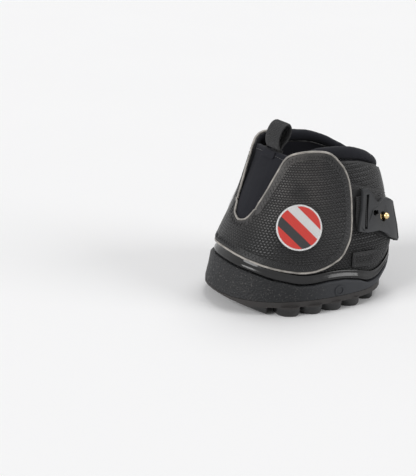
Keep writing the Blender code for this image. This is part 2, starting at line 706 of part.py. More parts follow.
def make_tread():
    """Make the tread: plate, lugs, toe bar, frog field ridges and wedges, cut by the toe rocker."""
    tread = slab("tread", WALL_OUT, LUG_HEIGHT, DECK, "tread_rubber")
    bm = bmesh.new()
    for x, y, wide, turn in LUG_PLACE_SHARES:
        width = SIDE_LUG_WIDTH if wide else LUG_WIDTH
        for side in ((1,) if x == 0 else (1, -1)):
            add_lug(bm, (side * tread_x(x), tread_y(y)), LUG_LENGTH, width, turn)
    girths = [TOE_BAR_GIRTH_SHARE * (2 * i / TOE_BAR_STEPS - 1) for i in range(TOE_BAR_STEPS + 1)]
    rim = [on_last(girth, DECK, WALL_OUT - TOE_BAR_INSET) for girth in girths]
    back = [(tread_x(x), tread_y(y)) for x, y in TOE_BAR_SHARES]
    back += [(-x, y) for x, y in reversed(back[:-1])]
    add_prism(bm, [(p.x, p.y) for p in rim] + back, 0, LUG_HEIGHT + EMBED)
    apply_boolean(tread, add_object("lugs", bm, "tread_rubber"), "UNION")
    field, heart = plan_points(FIELD_SHARES), plan_points(HEART_SHARES)
    for outline in (field, heart):
        bm = bmesh.new()
        add_ridge(bm, outline)
        apply_boolean(tread, add_object("ridge", bm, "tread_rubber"), "UNION")
    bm = bmesh.new()
    add_wedges(bm, field, heart)
    apply_boolean(tread, add_object("wedges", bm, "tread_rubber"), "UNION")
    toe = WIDEST_Y - LAST_TOE_REACH - WALL_OUT
    slope = ROCKER_START / ROCKER_RISE
    centre = toe + ROCKER_START + ROCKER_RADIUS
    rows = ((-EMBED, ROCKER_RADIUS - EMBED * slope), (DECK + EMBED, ROCKER_RADIUS + (DECK + EMBED) * slope))
    bm = bmesh.new()
    loops = []
    for height, radius in rows:
        loops.append([bm.verts.new((x, y, height)) for x, y in circle(radius, ROCKER_SIDES, (0.0, centre))])
    bm.faces.new(loops[0])
    bm.faces.new(loops[1])
    for i in range(ROCKER_SIDES):
        j = (i + 1) % ROCKER_SIDES
        bm.faces.new((loops[0][i], loops[0][j], loops[1][j], loops[1][i]))
    apply_boolean(tread, add_object("rocker", bm, "tread_rubber"), "INTERSECT")
    tread.data.shade_flat()


def wall_top(girth):
    """Return the height of the cup wall's wavy top edge."""
    return level(along(WALL_TOP_SHARES, half_girth(girth)))


def make_cup():
    """Make the cup wall with its ring emblems, and the glossy rim inside its top edge."""
    floor = DECK + FIT_GAP

    def wall_profile(girth):
        top = wall_top(girth)
        middle = (floor + top) / 2
        return [
            (floor, WALL_IN), (floor, WALL_OUT), (middle, WALL_OUT),
            (top - WALL_EDGE, WALL_OUT), (top, WALL_OUT - WALL_EDGE), (top, WALL_IN),
        ]

    def rim_profile(girth):
        foot = wall_top(girth) + FIT_GAP
        rows = [
            (foot + rise * RIM_BEAD_HEIGHT, WALL_IN + swell * RIM_BEAD_THICKNESS)
            for rise, swell in RIM_BEAD_SHARES
        ]
        top = wall_top(girth) + RIM_HEIGHT
        return [(foot, WALL_IN), *rows, (top, WALL_IN + RIM_SKIRT_THICKNESS), (top, WALL_IN)]

    cup = ring("sole_cup", wall_profile, "cup_rubber")
    for side in (1, -1):
        frame = frame_at(side * EMBLEM_GIRTH_SHARE, EMBLEM_LEVEL, WALL_OUT)
        bm = bmesh.new()
        loops = []
        for radius in (EMBLEM_RADIUS, EMBLEM_RADIUS - EMBLEM_WIDTH):
            for height in (-EMBED, EMBLEM_HEIGHT):
                corners = circle(radius, STUD_SIDES)
                loops.append([bm.verts.new(frame @ Vector((x, y, height))) for x, y in corners])
        low_a, high_a, low_b, high_b = loops
        for a, b in ((low_a, high_a), (high_a, high_b), (high_b, low_b), (low_b, low_a)):
            for i in range(STUD_SIDES):
                j = (i + 1) % STUD_SIDES
                bm.faces.new((a[i], a[j], b[j], b[i]))
        apply_boolean(cup, add_object("emblem", bm, "cup_rubber"), "UNION")
    ring("glossy_rim", rim_profile, "gloss_rubber")


def make_floor():
    """Make the insole board and the footbed that lies on it."""
    low = DECK + FIT_GAP
    slab("insole_board", 0, low, low + INSOLE_THICKNESS, "board")
    high = UPPER_FLOOR + FOOTBED_THICKNESS
    slab("footbed", LINING_IN - FOOTBED_CLEARANCE, UPPER_FLOOR, high, "foam")


def make_toe():
    """Make the toe box, its lining and the puff that stiffens it under the vamp."""
    top = level(TOE_TOP_SHARE)
    places = ((-1, UPPER_FLOOR), (1, UPPER_FLOOR), (1, top), (-1, top))
    corners = [Vector((side * TOE_SEAM_SHARE, height, 0)) for side, height in places]
    panel("toe_box", corners, -QUARTER_THICKNESS, 0, "leather")
    panel("toe_lining", corners, LINING_IN, LINING_OUT, "neoprene")
    panel("toe_puff", pattern(PUFF_SHARES), FIT_GAP, TONGUE_OUT, "foam")


def make_vamp():
    """Make the vamp between the two flaps, and the piping round its free edges."""
    gap = HINGE_GAP / 2 / girth_length(FLAP_HINGE_SHARE, level(TOE_TOP_SHARE))
    trim = (FLAP_HINGE_SHARE - gap) / FLAP_HINGE_SHARE
    top = [Vector((p[0] * trim, p[1], 0)) for p in spline(pattern(VAMP_TOP_SHARES), 2)]
    bottom = [Vector((p[0] * trim, p[1], 0)) for p in spline(pattern(VAMP_BOTTOM_SHARES), 1)]
    panel("toe_vamp", top + bottom, FLAP_IN, FLAP_OUT, "leather")
    middle = (FLAP_IN + FLAP_OUT) / 2
    tube("notch_piping", edge_path(refine(top[1:-1]), middle, 1), PIPING_RADIUS, "reflective")
    tube("toe_piping", edge_path(refine(bottom), middle, 1), PIPING_RADIUS, "reflective")


def flap_axis(side):
    """Return the two ends of the line on which a flap folds open, just outside its front seam."""
    share, lift = side * FLAP_HINGE_SHARE, FLAP_OUT + AXIS_LIFT
    low, high = level(FLAP_EDGE_SHARES[-1][1]), level(FLAP_EDGE_SHARES[0][1])
    return on_last(share, low, lift), on_last(share, high, lift)


def make_flap(name, side):
    """Make one closing flap with its piping, hook patch and badge."""
    gap = HINGE_GAP / 2 / girth_length(FLAP_HINGE_SHARE, level(TOE_TOP_SHARE))
    edge = spline(pattern(FLAP_EDGE_SHARES, side), 2)
    edge[0][0] += side * gap
    edge[-1][0] += side * gap
    panel(f"{name}_flap", edge, FLAP_IN, FLAP_OUT, "leather")
    path = edge_path(refine(edge[1:-1]), (FLAP_IN + FLAP_OUT) / 2, side)
    tube(f"{name}_flap_piping", path, PIPING_RADIUS, "reflective")
    panel(f"{name}_hook_patch", pattern(PATCH_SHARES, side), HOOK_PATCH_IN, HOOK_PATCH_OUT, "hook_loop")
    height = level(BADGE_HEIGHT_SHARE)
    reach = girth_length(BADGE_GIRTH_SHARE, height)
    outline = [
        Vector((side * (BADGE_GIRTH_SHARE + x / reach), height + y, 0))
        for x, y in circle(BADGE_RADIUS, BADGE_SIDES)
    ]
    inner = FLAP_OUT + FIT_GAP
    panel(f"{name}_badge", outline, inner, inner + BADGE_THICKNESS, "badge")


def make_quarter(name, side):
    """Make one quarter panel with its loop patch and the stitched tab near its foot."""
    seam = FIT_GAP / 2 / girth_length(1, DECK)
    front = pattern(QUARTER_FRONT_SHARES, side)
    shift = FIT_GAP / girth_length(TOE_SEAM_SHARE, DECK)
    front = [Vector((p[0] + side * shift, p[1], 0)) for p in front]
    foot = Vector((front[0][0], UPPER_FLOOR, 0))
    top = [Vector((side * girth, under_collar(girth), 0)) for girth in collar_girths()[:COLLAR_STEPS + 1]]
    top[-1][0] -= side * seam
    heel = Vector((top[-1][0], UPPER_FLOOR, 0))
    quarter = panel(f"{name}_quarter", [foot, *front, *top, heel], -QUARTER_THICKNESS, 0, "leather")
    drill(quarter, stud_frame(side), SCREW_RADIUS + FIT_GAP, LAST_HALF_WIDTH / 4)
    panel(f"{name}_loop_patch", pattern(PATCH_SHARES, side), LOOP_PATCH_IN, LOOP_PATCH_OUT, "hook_loop")
    panel(f"{name}_side_tab", pattern(SIDE_TAB_SHARES, side), FIT_GAP, FIT_GAP + TAB_THICKNESS, "leather")


def collar_girths():
    """Return the girth shares at which the collar, and the panels under it, have corners."""
    front = COLLAR_TOP_SHARES[0][0]
    return [front + (1 - front) * i / COLLAR_STEPS for i in range(2 * COLLAR_STEPS + 1)]


def collar_top(girth):
    """Return the height of the collar's crest."""
    return level(along(COLLAR_TOP_SHARES, half_girth(girth)))


def under_collar(girth):
    """Return the height at which the panels under the collar end."""
    return collar_top(girth) - COLLAR_HEIGHT - FIT_GAP


def make_lining():
    """Make the neoprene lining, which is open in front for the tongue."""
    rim = [Vector((girth, under_collar(girth), 0)) for girth in collar_girths()]
    shift = FIT_GAP / girth_length(TOE_SEAM_SHARE, DECK)
    front = [Vector((TOE_SEAM_SHARE + shift, UPPER_FLOOR, 0))]
    front += pattern(((TOE_SEAM_SHARE + shift, TOE_TOP_SHARE), *LINING_FRONT_SHARES))
    back = [Vector((2 - p[0], p[1], 0)) for p in reversed(front)]
    lining = panel("neoprene_lining", front + rim + back, LINING_IN, LINING_OUT, "neoprene")
    for side in (1, -1):
        drill(lining, stud_frame(side), SCREW_RADIUS + FIT_GAP, LAST_HALF_WIDTH / 4)


def make_collar():
    """Make the padded collar: a rolled edge that swells from tapered front ends."""
    girths = collar_girths()
    middle = (LINING_IN + LINING_OUT) / 2
    sections = [(girths[0] + shift, swell) for shift, swell in COLLAR_END_SHARES]
    sections += [(girth, 1.0) for girth in girths]
    sections += [(girths[-1] - shift, swell) for shift, swell in reversed(COLLAR_END_SHARES)]
    bm = bmesh.new()
    rings = []
    for girth, swell in sections:
        loop = []
        for x, y in circle(1, COLLAR_SIDES):
            height = collar_top(girth) - COLLAR_HEIGHT / 2 + y * swell * COLLAR_HEIGHT / 2
            loop.append(bm.verts.new(on_last(girth, height, middle + x * swell * COLLAR_WIDTH / 2)))
        rings.append(loop)
    bm.faces.new(rings[0])
    bm.faces.new(rings[-1])
    for a, b in zip(rings, rings[1:]):
        for i in range(COLLAR_SIDES):
            j = (i + 1) % COLLAR_SIDES
            bm.faces.new((a[i], a[j], b[j], b[i]))
    add_object("padded_collar", bm, "neoprene")


def tongue_layer(offset):
    """Return a layer's offset, a function of place: the tongue's crest leans back into the boot."""
    widest = max(girth for girth, _ in TONGUE_SHARES)

    def leaning(girth, height):
        rise = along(TONGUE_LEAN_SHARES, (height - DECK) / UPPER_HEIGHT)
        return offset - TONGUE_LEAN * rise * max(0.0, 1 - (girth / widest) ** 2)

    return leaning


def make_tongue():
    """Make the tongue, the stitched ends of its pull loop and the loop itself."""
    shares = [*TONGUE_SHARES, *((-girth, height) for girth, height in reversed(TONGUE_SHARES[:-1]))]
    panel("tongue", spline(pattern(shares), 1), tongue_layer(TONGUE_IN), tongue_layer(TONGUE_OUT), "neoprene")
    crest = level(TONGUE_SHARES[-1][1])
    reach = LOOP_WIDTH / 2 / girth_length(0, crest)
    corners = [
        Vector((s * reach, height, 0))
        for s, height in ((-1, crest - ANCHOR_LENGTH), (1, crest - ANCHOR_LENGTH), (1, crest), (-1, crest))
    ]
    out = TONGUE_OUT + FIT_GAP
    panel("loop_anchor_front", corners, tongue_layer(out), tongue_layer(out + LOOP_THICKNESS), "webbing")
    back = TONGUE_IN - FIT_GAP
    panel("loop_anchor_back", corners, tongue_layer(back - LOOP_THICKNESS), tongue_layer(back), "webbing")
    make_pull_loop()


def tongue_axis():
    """Return the middle of the tongue's foot, about which it tilts."""
    return on_last(0, level(TONGUE_SHARES[0][1]), (TONGUE_IN + TONGUE_OUT) / 2)


def loop_axis():
    """Return the middle of the pull loop's knuckle, just above the tongue's crest."""
    crest = level(TONGUE_SHARES[-1][1])
    middle = on_last(0, crest, tongue_layer((TONGUE_IN + TONGUE_OUT) / 2)(0, crest))
    return middle + Vector((0, 0, FIT_GAP + LOOP_KNUCKLE_RADIUS))


def make_pull_loop():
    """Make the webbing pull loop, a closed band that stands on a knuckle above the tongue."""
    axis = loop_axis()
    line = [Vector((LOOP_DEPTH * y, LOOP_HEIGHT * z)) for y, z in LOOP_OUTLINE_SHARES]
    line = spline([*line, line[0]], 2)[:-1]
    bm = bmesh.new()
    loops = []
    for half in (-LOOP_THICKNESS / 2, LOOP_THICKNESS / 2):
        shifted = []
        for i, point in enumerate(line):
            way = (line[(i + 1) % len(line)] - line[i - 1]).normalized()
            shifted.append(point + Vector((way.y, -way.x)) * half)
        for x in (-LOOP_WIDTH / 2, LOOP_WIDTH / 2):
            loops.append([bm.verts.new(axis + Vector((x, p.x, p.y))) for p in shifted])
    in_a, in_b, out_a, out_b = loops
    for a, b in ((in_a, in_b), (in_b, out_b), (out_b, out_a), (out_a, in_a)):
        for i in range(len(line)):
            j = (i + 1) % len(line)
            bm.faces.new((a[i], a[j], b[j], b[i]))
    loop = add_object("pull_loop", bm, "webbing")
    bm = bmesh.new()
    across = Matrix.Translation(axis) @ Matrix.Rotation(math.pi / 2, 4, "Y")
    half = LOOP_WIDTH / 2 - FIT_GAP
    add_prism(bm, circle(LOOP_KNUCKLE_RADIUS, STUD_SIDES), -half, half, across)
    apply_boolean(loop, add_object("knuckle", bm, "webbing"), "UNION")


def strap_middle(girth):
    """Return the height of the strap's centre line."""
    return level(along(STRAP_LINE_SHARES, half_girth(girth)))


def strap_inner(girth, _height=None):
    """Return how far the strap's inner face stands off the last."""
    place = half_girth(girth)
    end = along(STRAP_LIFT_SHARES, place, 1) * STRAP_END_LIFT
    corner = along(STRAP_LIFT_SHARES, place, 2) * STRAP_CORNER_LIFT
    return STRAP_BASE + end + corner


def strap_outer(girth, _height=None):
    """Return how far the strap's outer face stands off the last."""
    return strap_inner(girth) + STRAP_THICKNESS


def strap_edges(first, last, steps, side=1):
    """Return the strap's outline between two girth shares."""
    girths = [first + (last - first) * i / steps for i in range(steps + 1)]
    top, bottom = [], []
    for girth in girths:
        middle, slant = strap_middle(girth), along(STRAP_SLANT_SHARES, half_girth(girth))
        half = along(STRAP_HALF_SHARES, half_girth(girth)) * UPPER_HEIGHT
        top.append(Vector((side * (girth + slant), middle + half, 0)))
        bottom.append(Vector((side * (girth - slant), middle - half, 0)))
    return top + bottom[::-1]


def stud_frame(side):
    """Return the frame of a ball stud, on the last's surface and square to it."""
    return frame_at(side * STUD_SHARES[0], level(STUD_SHARES[1]), 0)


def make_heel_band():
    """Make the elastic band that lies round the heel under the strap."""
    steps = 12
    girths = [BAND_END_SHARE + (1 - BAND_END_SHARE) * 2 * i / (2 * steps) for i in range(2 * steps + 1)]
    half = BAND_HALF_SHARE * UPPER_HEIGHT
    top = [Vector((g, strap_middle(g) + half, 0)) for g in girths]
    bottom = [Vector((g, strap_middle(g) - half, 0)) for g in reversed(girths)]
    band = panel("heel_band", top + bottom, FIT_GAP, BAND_OUT, "elastic")
    for side in (1, -1):
        drill(band, stud_frame(side), SCREW_RADIUS + FIT_GAP, LAST_HALF_WIDTH / 4)


def make_strap():
    """Make the rubber strap's middle, which grips the heel between the two arms."""
    gap = HINGE_GAP / 2 / girth_length(STRAP_HINGE_SHARE, strap_middle(STRAP_HINGE_SHARE))
    first = STRAP_HINGE_SHARE + gap
    outline = strap_edges(first, 2 - first, 10)
    panel("heel_strap", outline, strap_inner, strap_outer, "strap_rubber")


def keyhole(radius, slit, way):
    """Return a keyhole outline: a round hole with a three-cornered slit on one side."""
    half = math.asin(min(KEYHOLE_SLIT_WIDTH / 2 / radius, 1.0))
    turns = [half + (2 * math.pi - 2 * half) * i / STUD_SIDES for i in range(STUD_SIDES + 1)]
    points = [(way * radius * math.cos(a), radius * math.sin(a)) for a in turns]
    tip = way * (radius + slit)
    return points + [(tip, -KEYHOLE_SLIT_WIDTH / 2), (tip, KEYHOLE_SLIT_WIDTH / 2)]


def arm_axis(side):
    """Return the two ends of the line on which a strap arm lifts off, just outside the strap."""
    middle = strap_middle(STRAP_HINGE_SHARE)
    half = along(STRAP_HALF_SHARES, STRAP_HINGE_SHARE) * UPPER_HEIGHT
    share, lift = side * STRAP_HINGE_SHARE, strap_outer(STRAP_HINGE_SHARE) + AXIS_LIFT
    return on_last(share, middle - half, lift), on_last(share, middle + half, lift)


def make_strap_arm(name, side):
    """Make one strap arm with its keyholes and slot, and the webbing that runs through the slot."""
    gap = HINGE_GAP / 2 / girth_length(STRAP_HINGE_SHARE, strap_middle(STRAP_HINGE_SHARE))
    outline = strap_edges(STRAP_END_SHARE, STRAP_HINGE_SHARE - gap, 12, side)
    arm = panel(f"{name}_strap_arm", outline, strap_inner, strap_outer, "strap_rubber")
    reach = LAST_HALF_WIDTH / 4
    main_keyhole = keyhole(STUD_BALL_RADIUS + KEYHOLE_CLEARANCE, KEYHOLE_SLIT, side)
    lean = side * slot_lean() * SLOT_HEIGHT / 2
    slot = [
        (x * SLOT_WIDTH / 2 + y * lean, y * SLOT_HEIGHT / 2)
        for x, y in ((-1, -1), (1, -1), (1, 1), (-1, 1))
    ]
    second, height = SECOND_KEYHOLE_SHARES
    cuts = (
        (stud_frame(side), [(x - side * KEYHOLE_SHIFT, y) for x, y in main_keyhole]),
        (frame_at(side * second, level(height), 0), keyhole(SMALL_KEYHOLE_RADIUS, KEYHOLE_SLIT, side)),
        (upright_frame(side * SLOT_SHARES[0], level(SLOT_SHARES[1])), slot),
    )
    for frame, corners in cuts:
        bm = bmesh.new()
        add_prism(bm, corners, -reach / 3, reach, frame)
        apply_boolean(arm, add_object("cut", bm, "steel"), "DIFFERENCE")
    make_webbing(name, side)


def slot_lean():
    """Return how far the slot and its webbing lean rearwards for each step up the surface."""
    girth = SLOT_SHARES[0]
    half = along(STRAP_HALF_SHARES, girth) * UPPER_HEIGHT
    return along(STRAP_SLANT_SHARES, girth) * girth_length(girth, strap_middle(girth)) / half


def make_webbing(name, side):
    """Make the webbing that runs under the end bar of a strap arm and up into its slot."""
    slot, middle = SLOT_SHARES[0], level(SLOT_SHARES[1])
    scale = girth_length(slot, middle)
    half = WEBBING_THICKNESS / 2 / scale
    low = strap_inner(slot) - WEBBING_GAP
    high = strap_outer(slot) - WEBBING_GAP
    bm = bmesh.new()
    rows = []
    for step in range(WEBBING_STEPS + 1):
        rise = WEBBING_HEIGHT * (step / WEBBING_STEPS - 1 / 2)
        place = slot + rise * slot_lean() / scale
        end = along(WEBBING_END_SHARES, (middle + rise - DECK) / UPPER_HEIGHT)
        outline = (
            (end, low - WEBBING_THICKNESS), (place + half, low - WEBBING_THICKNESS),
            (place + half, high), (place - half, high), (place - half, low), (end, low),
        )
        rows.append([bm.verts.new(on_last(side * girth, middle + rise, offset)) for girth, offset in outline])
    count = len(rows[0])
    for a, b in zip(rows, rows[1:]):
        for i in range(count):
            j = (i + 1) % count
            bm.faces.new((a[i], a[j], b[j], b[i]))
    bm.faces.new(rows[0])
    bm.faces.new(rows[-1])
    add_object(f"{name}_webbing", bm, "webbing", smooth=False)


def add_turned(bm, frame, profile, sides):
    """Turn a profile of (radius, height) corners round a frame's Z, closed on its axis."""
    rings = []
    for radius, height in profile:
        rings.append([bm.verts.new(frame @ Vector((x, y, height))) for x, y in circle(radius, sides)])
    bm.faces.new(rings[0])
    bm.faces.new(rings[-1])
    for a, b in zip(rings, rings[1:]):
        for i in range(sides):
            j = (i + 1) % sides
            bm.faces.new((a[i], a[j], b[j], b[i]))


def make_stud(name, side):
    """Make one ball stud and the screw that holds it from inside."""
    frame = stud_frame(side)
    base = STRAP_BASE
    neck = base + STUD_BASE_THICKNESS
    seat = neck + STUD_NECK_LENGTH
    start = math.asin(STUD_NECK_RADIUS / STUD_BALL_RADIUS)
    centre = seat + STUD_BALL_RADIUS * math.cos(start)
    profile = [(STUD_BASE_RADIUS, base), (STUD_BASE_RADIUS, neck), (STUD_NECK_RADIUS, neck)]
    for i in range(BALL_RINGS + 1):
        angle = start + (math.pi * BALL_TURN_SHARE - start) * i / BALL_RINGS
        profile.append((STUD_BALL_RADIUS * math.sin(angle), centre - STUD_BALL_RADIUS * math.cos(angle)))
    bm = bmesh.new()
    add_turned(bm, frame, profile, STUD_SIDES)
    add_object(f"{name}_stud", bm, "brass")
    seat = LINING_IN - FIT_GAP
    bm = bmesh.new()
    add_turned(bm, frame, (
        (SCREW_HEAD_RADIUS, seat - SCREW_HEAD_THICKNESS),
        (SCREW_HEAD_RADIUS, seat),
        (SCREW_RADIUS, seat),
        (SCREW_RADIUS, base - FIT_GAP),
    ), STUD_SIDES)
    add_object(f"{name}_stud_screw", bm, "steel")


def hang_on(axis, names):
    """Move the origins of moving pieces to the axis that they turn on."""
    for name in names:
        thing = bpy.data.objects[name]
        thing.data.transform(Matrix.Translation(-axis))
        thing.location = axis


def main():
    """Build every piece of the boot."""
    clear_scene()
    make_tread()
    make_cup()
    make_floor()
    make_toe()
    make_vamp()
    make_lining()
    make_collar()
    make_tongue()
    make_heel_band()
    make_strap()
    for name, side in (("left", 1), ("right", -1)):
        make_quarter(name, side)
        make_flap(name, side)
        make_strap_arm(name, side)
        make_stud(name, side)
        flap_pieces = ("flap", "flap_piping", "hook_patch", "badge")
        hang_on(flap_axis(side)[0], [f"{name}_{piece}" for piece in flap_pieces])
        hang_on(arm_axis(side)[0], [f"{name}_{piece}" for piece in ("strap_arm", "webbing")])
    hang_on(tongue_axis(), ("tongue", "loop_anchor_front", "loop_anchor_back"))
    hang_on(loop_axis(), ("pull_loop",))


main()
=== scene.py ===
"""Looks of a horse hoof boot: leather, neoprene, webbing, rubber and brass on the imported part."""
import json
import math
from contextlib import contextmanager

import bpy
import numpy as np
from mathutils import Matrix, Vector
from mathutils.bvhtree import BVHTree
from mathutils.kdtree import KDTree

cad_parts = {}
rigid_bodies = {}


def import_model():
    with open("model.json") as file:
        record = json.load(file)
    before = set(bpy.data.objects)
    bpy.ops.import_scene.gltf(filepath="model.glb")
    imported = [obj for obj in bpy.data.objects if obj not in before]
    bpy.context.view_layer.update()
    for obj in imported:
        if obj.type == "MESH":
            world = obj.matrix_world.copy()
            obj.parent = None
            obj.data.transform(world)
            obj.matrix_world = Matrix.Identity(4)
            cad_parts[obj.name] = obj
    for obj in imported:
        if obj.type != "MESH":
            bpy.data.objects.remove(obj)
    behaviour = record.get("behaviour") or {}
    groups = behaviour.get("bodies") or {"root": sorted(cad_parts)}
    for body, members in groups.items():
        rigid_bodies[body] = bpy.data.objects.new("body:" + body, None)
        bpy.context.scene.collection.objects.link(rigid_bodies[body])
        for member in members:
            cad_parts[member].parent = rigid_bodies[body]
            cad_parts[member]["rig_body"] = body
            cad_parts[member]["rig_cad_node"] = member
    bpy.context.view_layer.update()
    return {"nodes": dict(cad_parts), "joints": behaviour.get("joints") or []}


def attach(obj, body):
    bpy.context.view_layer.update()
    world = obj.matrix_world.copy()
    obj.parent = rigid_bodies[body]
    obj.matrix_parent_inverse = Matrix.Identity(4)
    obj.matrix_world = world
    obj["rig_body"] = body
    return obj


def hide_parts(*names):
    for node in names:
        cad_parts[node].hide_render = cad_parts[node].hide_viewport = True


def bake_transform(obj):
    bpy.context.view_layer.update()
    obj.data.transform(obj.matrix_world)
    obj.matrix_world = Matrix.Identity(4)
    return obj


bl_info = {
    "name": "Hoof Boot Looks",
    "version": (1, 0, 0),
    "blender": (4, 5, 0),
    "location": "3D View > Sidebar > Hoof Boot",
    "description": "Dresses the packed hoof boot in leather, neoprene, webbing, rubber and brass",
    "category": "Object",
}

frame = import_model()
JOINTS = {joint["name"]: joint for joint in frame["joints"]}
SIDES = (("left", 1), ("right", -1))

# The plan of the last round which the upper is pulled: its widest place, half axes and power
WIDEST_Y = 0.0075
HALF_WIDTH = 0.061
TOE_REACH = 0.080
HEEL_REACH = 0.065
PLAN_POWER = 2.5
WRAP_STEPS = 180

# How much longer the leaning upper is, measured up its face, than it is high
LEAN = 1.12

# Photograph: its height and focal length in pixels, and the camera's place and direction
IMAGE_HEIGHT = 476
FOCAL_PIXELS = 1000
SENSOR_HEIGHT = 36
CAMERA_PLACE = (0.717, -0.4615, 0.349)
CAMERA_TURN = math.radians(62.7)
CAMERA_DIP = math.radians(19.7)

# Lamps: how far round from the toe towards the left side, and how high, in degrees
KEY_ANGLES = (4, 28)
FILL_ANGLES = (132, 25)
BACK_ANGLES = (-150, 62)

# Sizes of the sewn layers, as the part has them
FLAP_THICKNESS = 0.0025
QUARTER_THICKNESS = 0.003
LINING_THICKNESS = 0.003
PUFF_THICKNESS = 0.002
PATCH_THICKNESS = 0.0008
TAB_THICKNESS = 0.001
ANCHOR_THICKNESS = 0.0016
BAND_THICKNESS = 0.0012

# Sewn bands: how high the field stands above them and where it rises, as shares of their width,
# how wide they are beside a seam, and where the zigzag turns, as shares of their width
FIELD_RISE = 0.00035
FIELD_START = 0.85
FIELD_END = 1.35
SEAM_BAND = 0.0015
ZIGZAG_SHARES = (0.30, 0.92)

# Steps along a seam, and how far inside a tab's edge its stitches lie
SEAM_STEP = 0.001
TAB_INSET = 0.0018

# How far the collar's foam swells against the lining that it is sewn to
COLLAR_FILL = 0.0005

# Piping: how far its middle lies outside the edge and below the face, and how far its ends lap
PIPING_REACH = 0.00125
PIPING_DEPTH = 0.0009
PIPING_LAP = 0.0003

# Distances from the fold, out along a flap, and how near it a corner lies on it
FOLD_START = 0.0005
FOLD_END = 0.0125
FOLD_REACH = 0.0006

# Seams of the quarters and the tongue: angles round the last from the toe, and heights
QUARTER_SEAMS = (
    ((96, 0.1062), (108, 0.1035), (120, 0.1000), (134, 0.0950), (148, 0.0890), (158, 0.0845)),
    ((98, 0.0990), (110, 0.0965), (122, 0.0928), (135, 0.0880), (148, 0.0825), (156, 0.0790)),
    ((128, 0.0225), (130, 0.036), (136, 0.050), (144, 0.058), (160, 0.0600)),
)
TONGUE_SEAM = ((-34, 0.1262), (-20, 0.1274), (0, 0.1280), (20, 0.1274), (34, 0.1262))

# The pull loop's side view: how far it leans and rises, as shares of its depth and height
LOOP_OUTLINE = (
    (0.0, -0.04), (-0.13, 0.20), (-0.10, 0.46), (0.10, 0.75), (0.42, 0.96), (0.76, 0.98),
    (0.92, 0.80), (0.84, 0.54), (0.58, 0.30), (0.28, 0.12), (0.10, -0.04),
)
LOOP_DEPTH = 0.0120
LOOP_HEIGHT = 0.0205
LOOP_WIDTH = 0.0212
LOOP_THICKNESS = 0.0013
STEPS_PER_RIB = 6
SELVEDGE_START = 0.42
SELVEDGE_WIDTH = 0.08

# Badges: squares across the face, and steps along the overcast thread in one turn of it
BADGE_SQUARES = 64
TURN_STEPS = 8

# The rim's cords: their radius as a share of the rim's, and the steps round their section
RIM_CORDS = (("rim", 0.75, 2), ("overcast", 0.42, 0))

# A stitch: its step and the heights of its four places above the leather, in radii
STITCH_STEP = 2.5
STITCH_LIFTS = (-0.5, 0.7, 0.7, -0.5)

# Rates of the two waves that make a cord's radius uneven
WOBBLE_RATES = (2.3, 0.71)

# Radius of a sheet's edges, and corners nearer to each other than the reach are one
SHEET_EDGE = 0.0003
MERGE_REACH = 1e-6

# Outer faces: the least share of their normal that points outwards, the share of the wall behind
# which a ray starts, and the longest way through the wall as a share of it
OUTWARD_SHARE = 0.3
RAY_START = 0.01
RAY_REACH = 1.4

# The cloth simulation's last frame
LAST_FRAME = 20


# Sizes and colours that a user would change

def length_setting(name, description, default, low, high, precision=4):
    """Describe a length in metres."""
    return bpy.props.FloatProperty(
        name=name, description=description, default=default, min=low, max=high,
        unit="LENGTH", precision=precision)


def colour_setting(name, description, default):
    """Describe a colour."""
    return bpy.props.FloatVectorProperty(
        name=name, description=description, default=default, min=0, max=1, subtype="COLOR")


def light_setting(name, description, default):
    """Describe a light's strength."""
    return bpy.props.FloatProperty(
        name=name, description=description, default=default, min=0, max=10)


class UpperSizes(bpy.types.PropertyGroup):
    """Sizes and colours of the sewn upper"""
    scale_length: length_setting(
        "Scale length", "Length of one embossed scale round the boot", 0.0035, 0.001, 0.01)
    scale_height: length_setting(
        "Scale height", "Height of one row of embossed scales", 0.0023, 0.001, 0.01)
    stitch_band: length_setting(
        "Stitched band", "Width of the zigzag-stitched band inside each bound edge",
        0.0052, 0.002, 0.01)
    stitch_pitch: length_setting(
        "Stitch pitch", "Step of the zigzag along the edge", 0.0019, 0.001, 0.005)
    thread_radius: length_setting(
        "Thread radius", "Radius of the sewing thread", 0.00032, 0.0001, 0.001, 5)
    piping_radius: length_setting(
        "Piping radius", "Radius of the reflective piping", 0.00102, 0.0005, 0.003, 5)
    rib_pitch: length_setting(
        "Rib pitch", "Step of the ribs along the pull loop's webbing", 0.00125, 0.0005, 0.003, 5)
    rib_height: length_setting(
        "Rib height", "Height of the ribs of the pull loop's webbing", 0.00038, 0, 0.001, 5)
    leather_colour: colour_setting(
        "Leather", "Colour of the black synthetic leather", (0.0070, 0.0070, 0.0076))
    # The colour of a painted highlight, a grey-brown sheen laid over the leather's front
    painted_sheen_colour: colour_setting(
        "Painted sheen", "Colour of the leather where it is rubbed over the toe",
        (0.082, 0.076, 0.072))
    piping_colour: colour_setting(
        "Piping", "Colour of the reflective piping", (0.31, 0.29, 0.265))
    neoprene_colour: colour_setting(
        "Neoprene", "Colour of the jersey on the neoprene", (0.0062, 0.0066, 0.0098))
    webbing_colour: colour_setting(
        "Webbing", "Colour of the woven webbing", (0.013, 0.013, 0.0135))
    thread_colour: colour_setting(
        "Thread", "Colour of the sewing thread", (0.021, 0.021, 0.022))


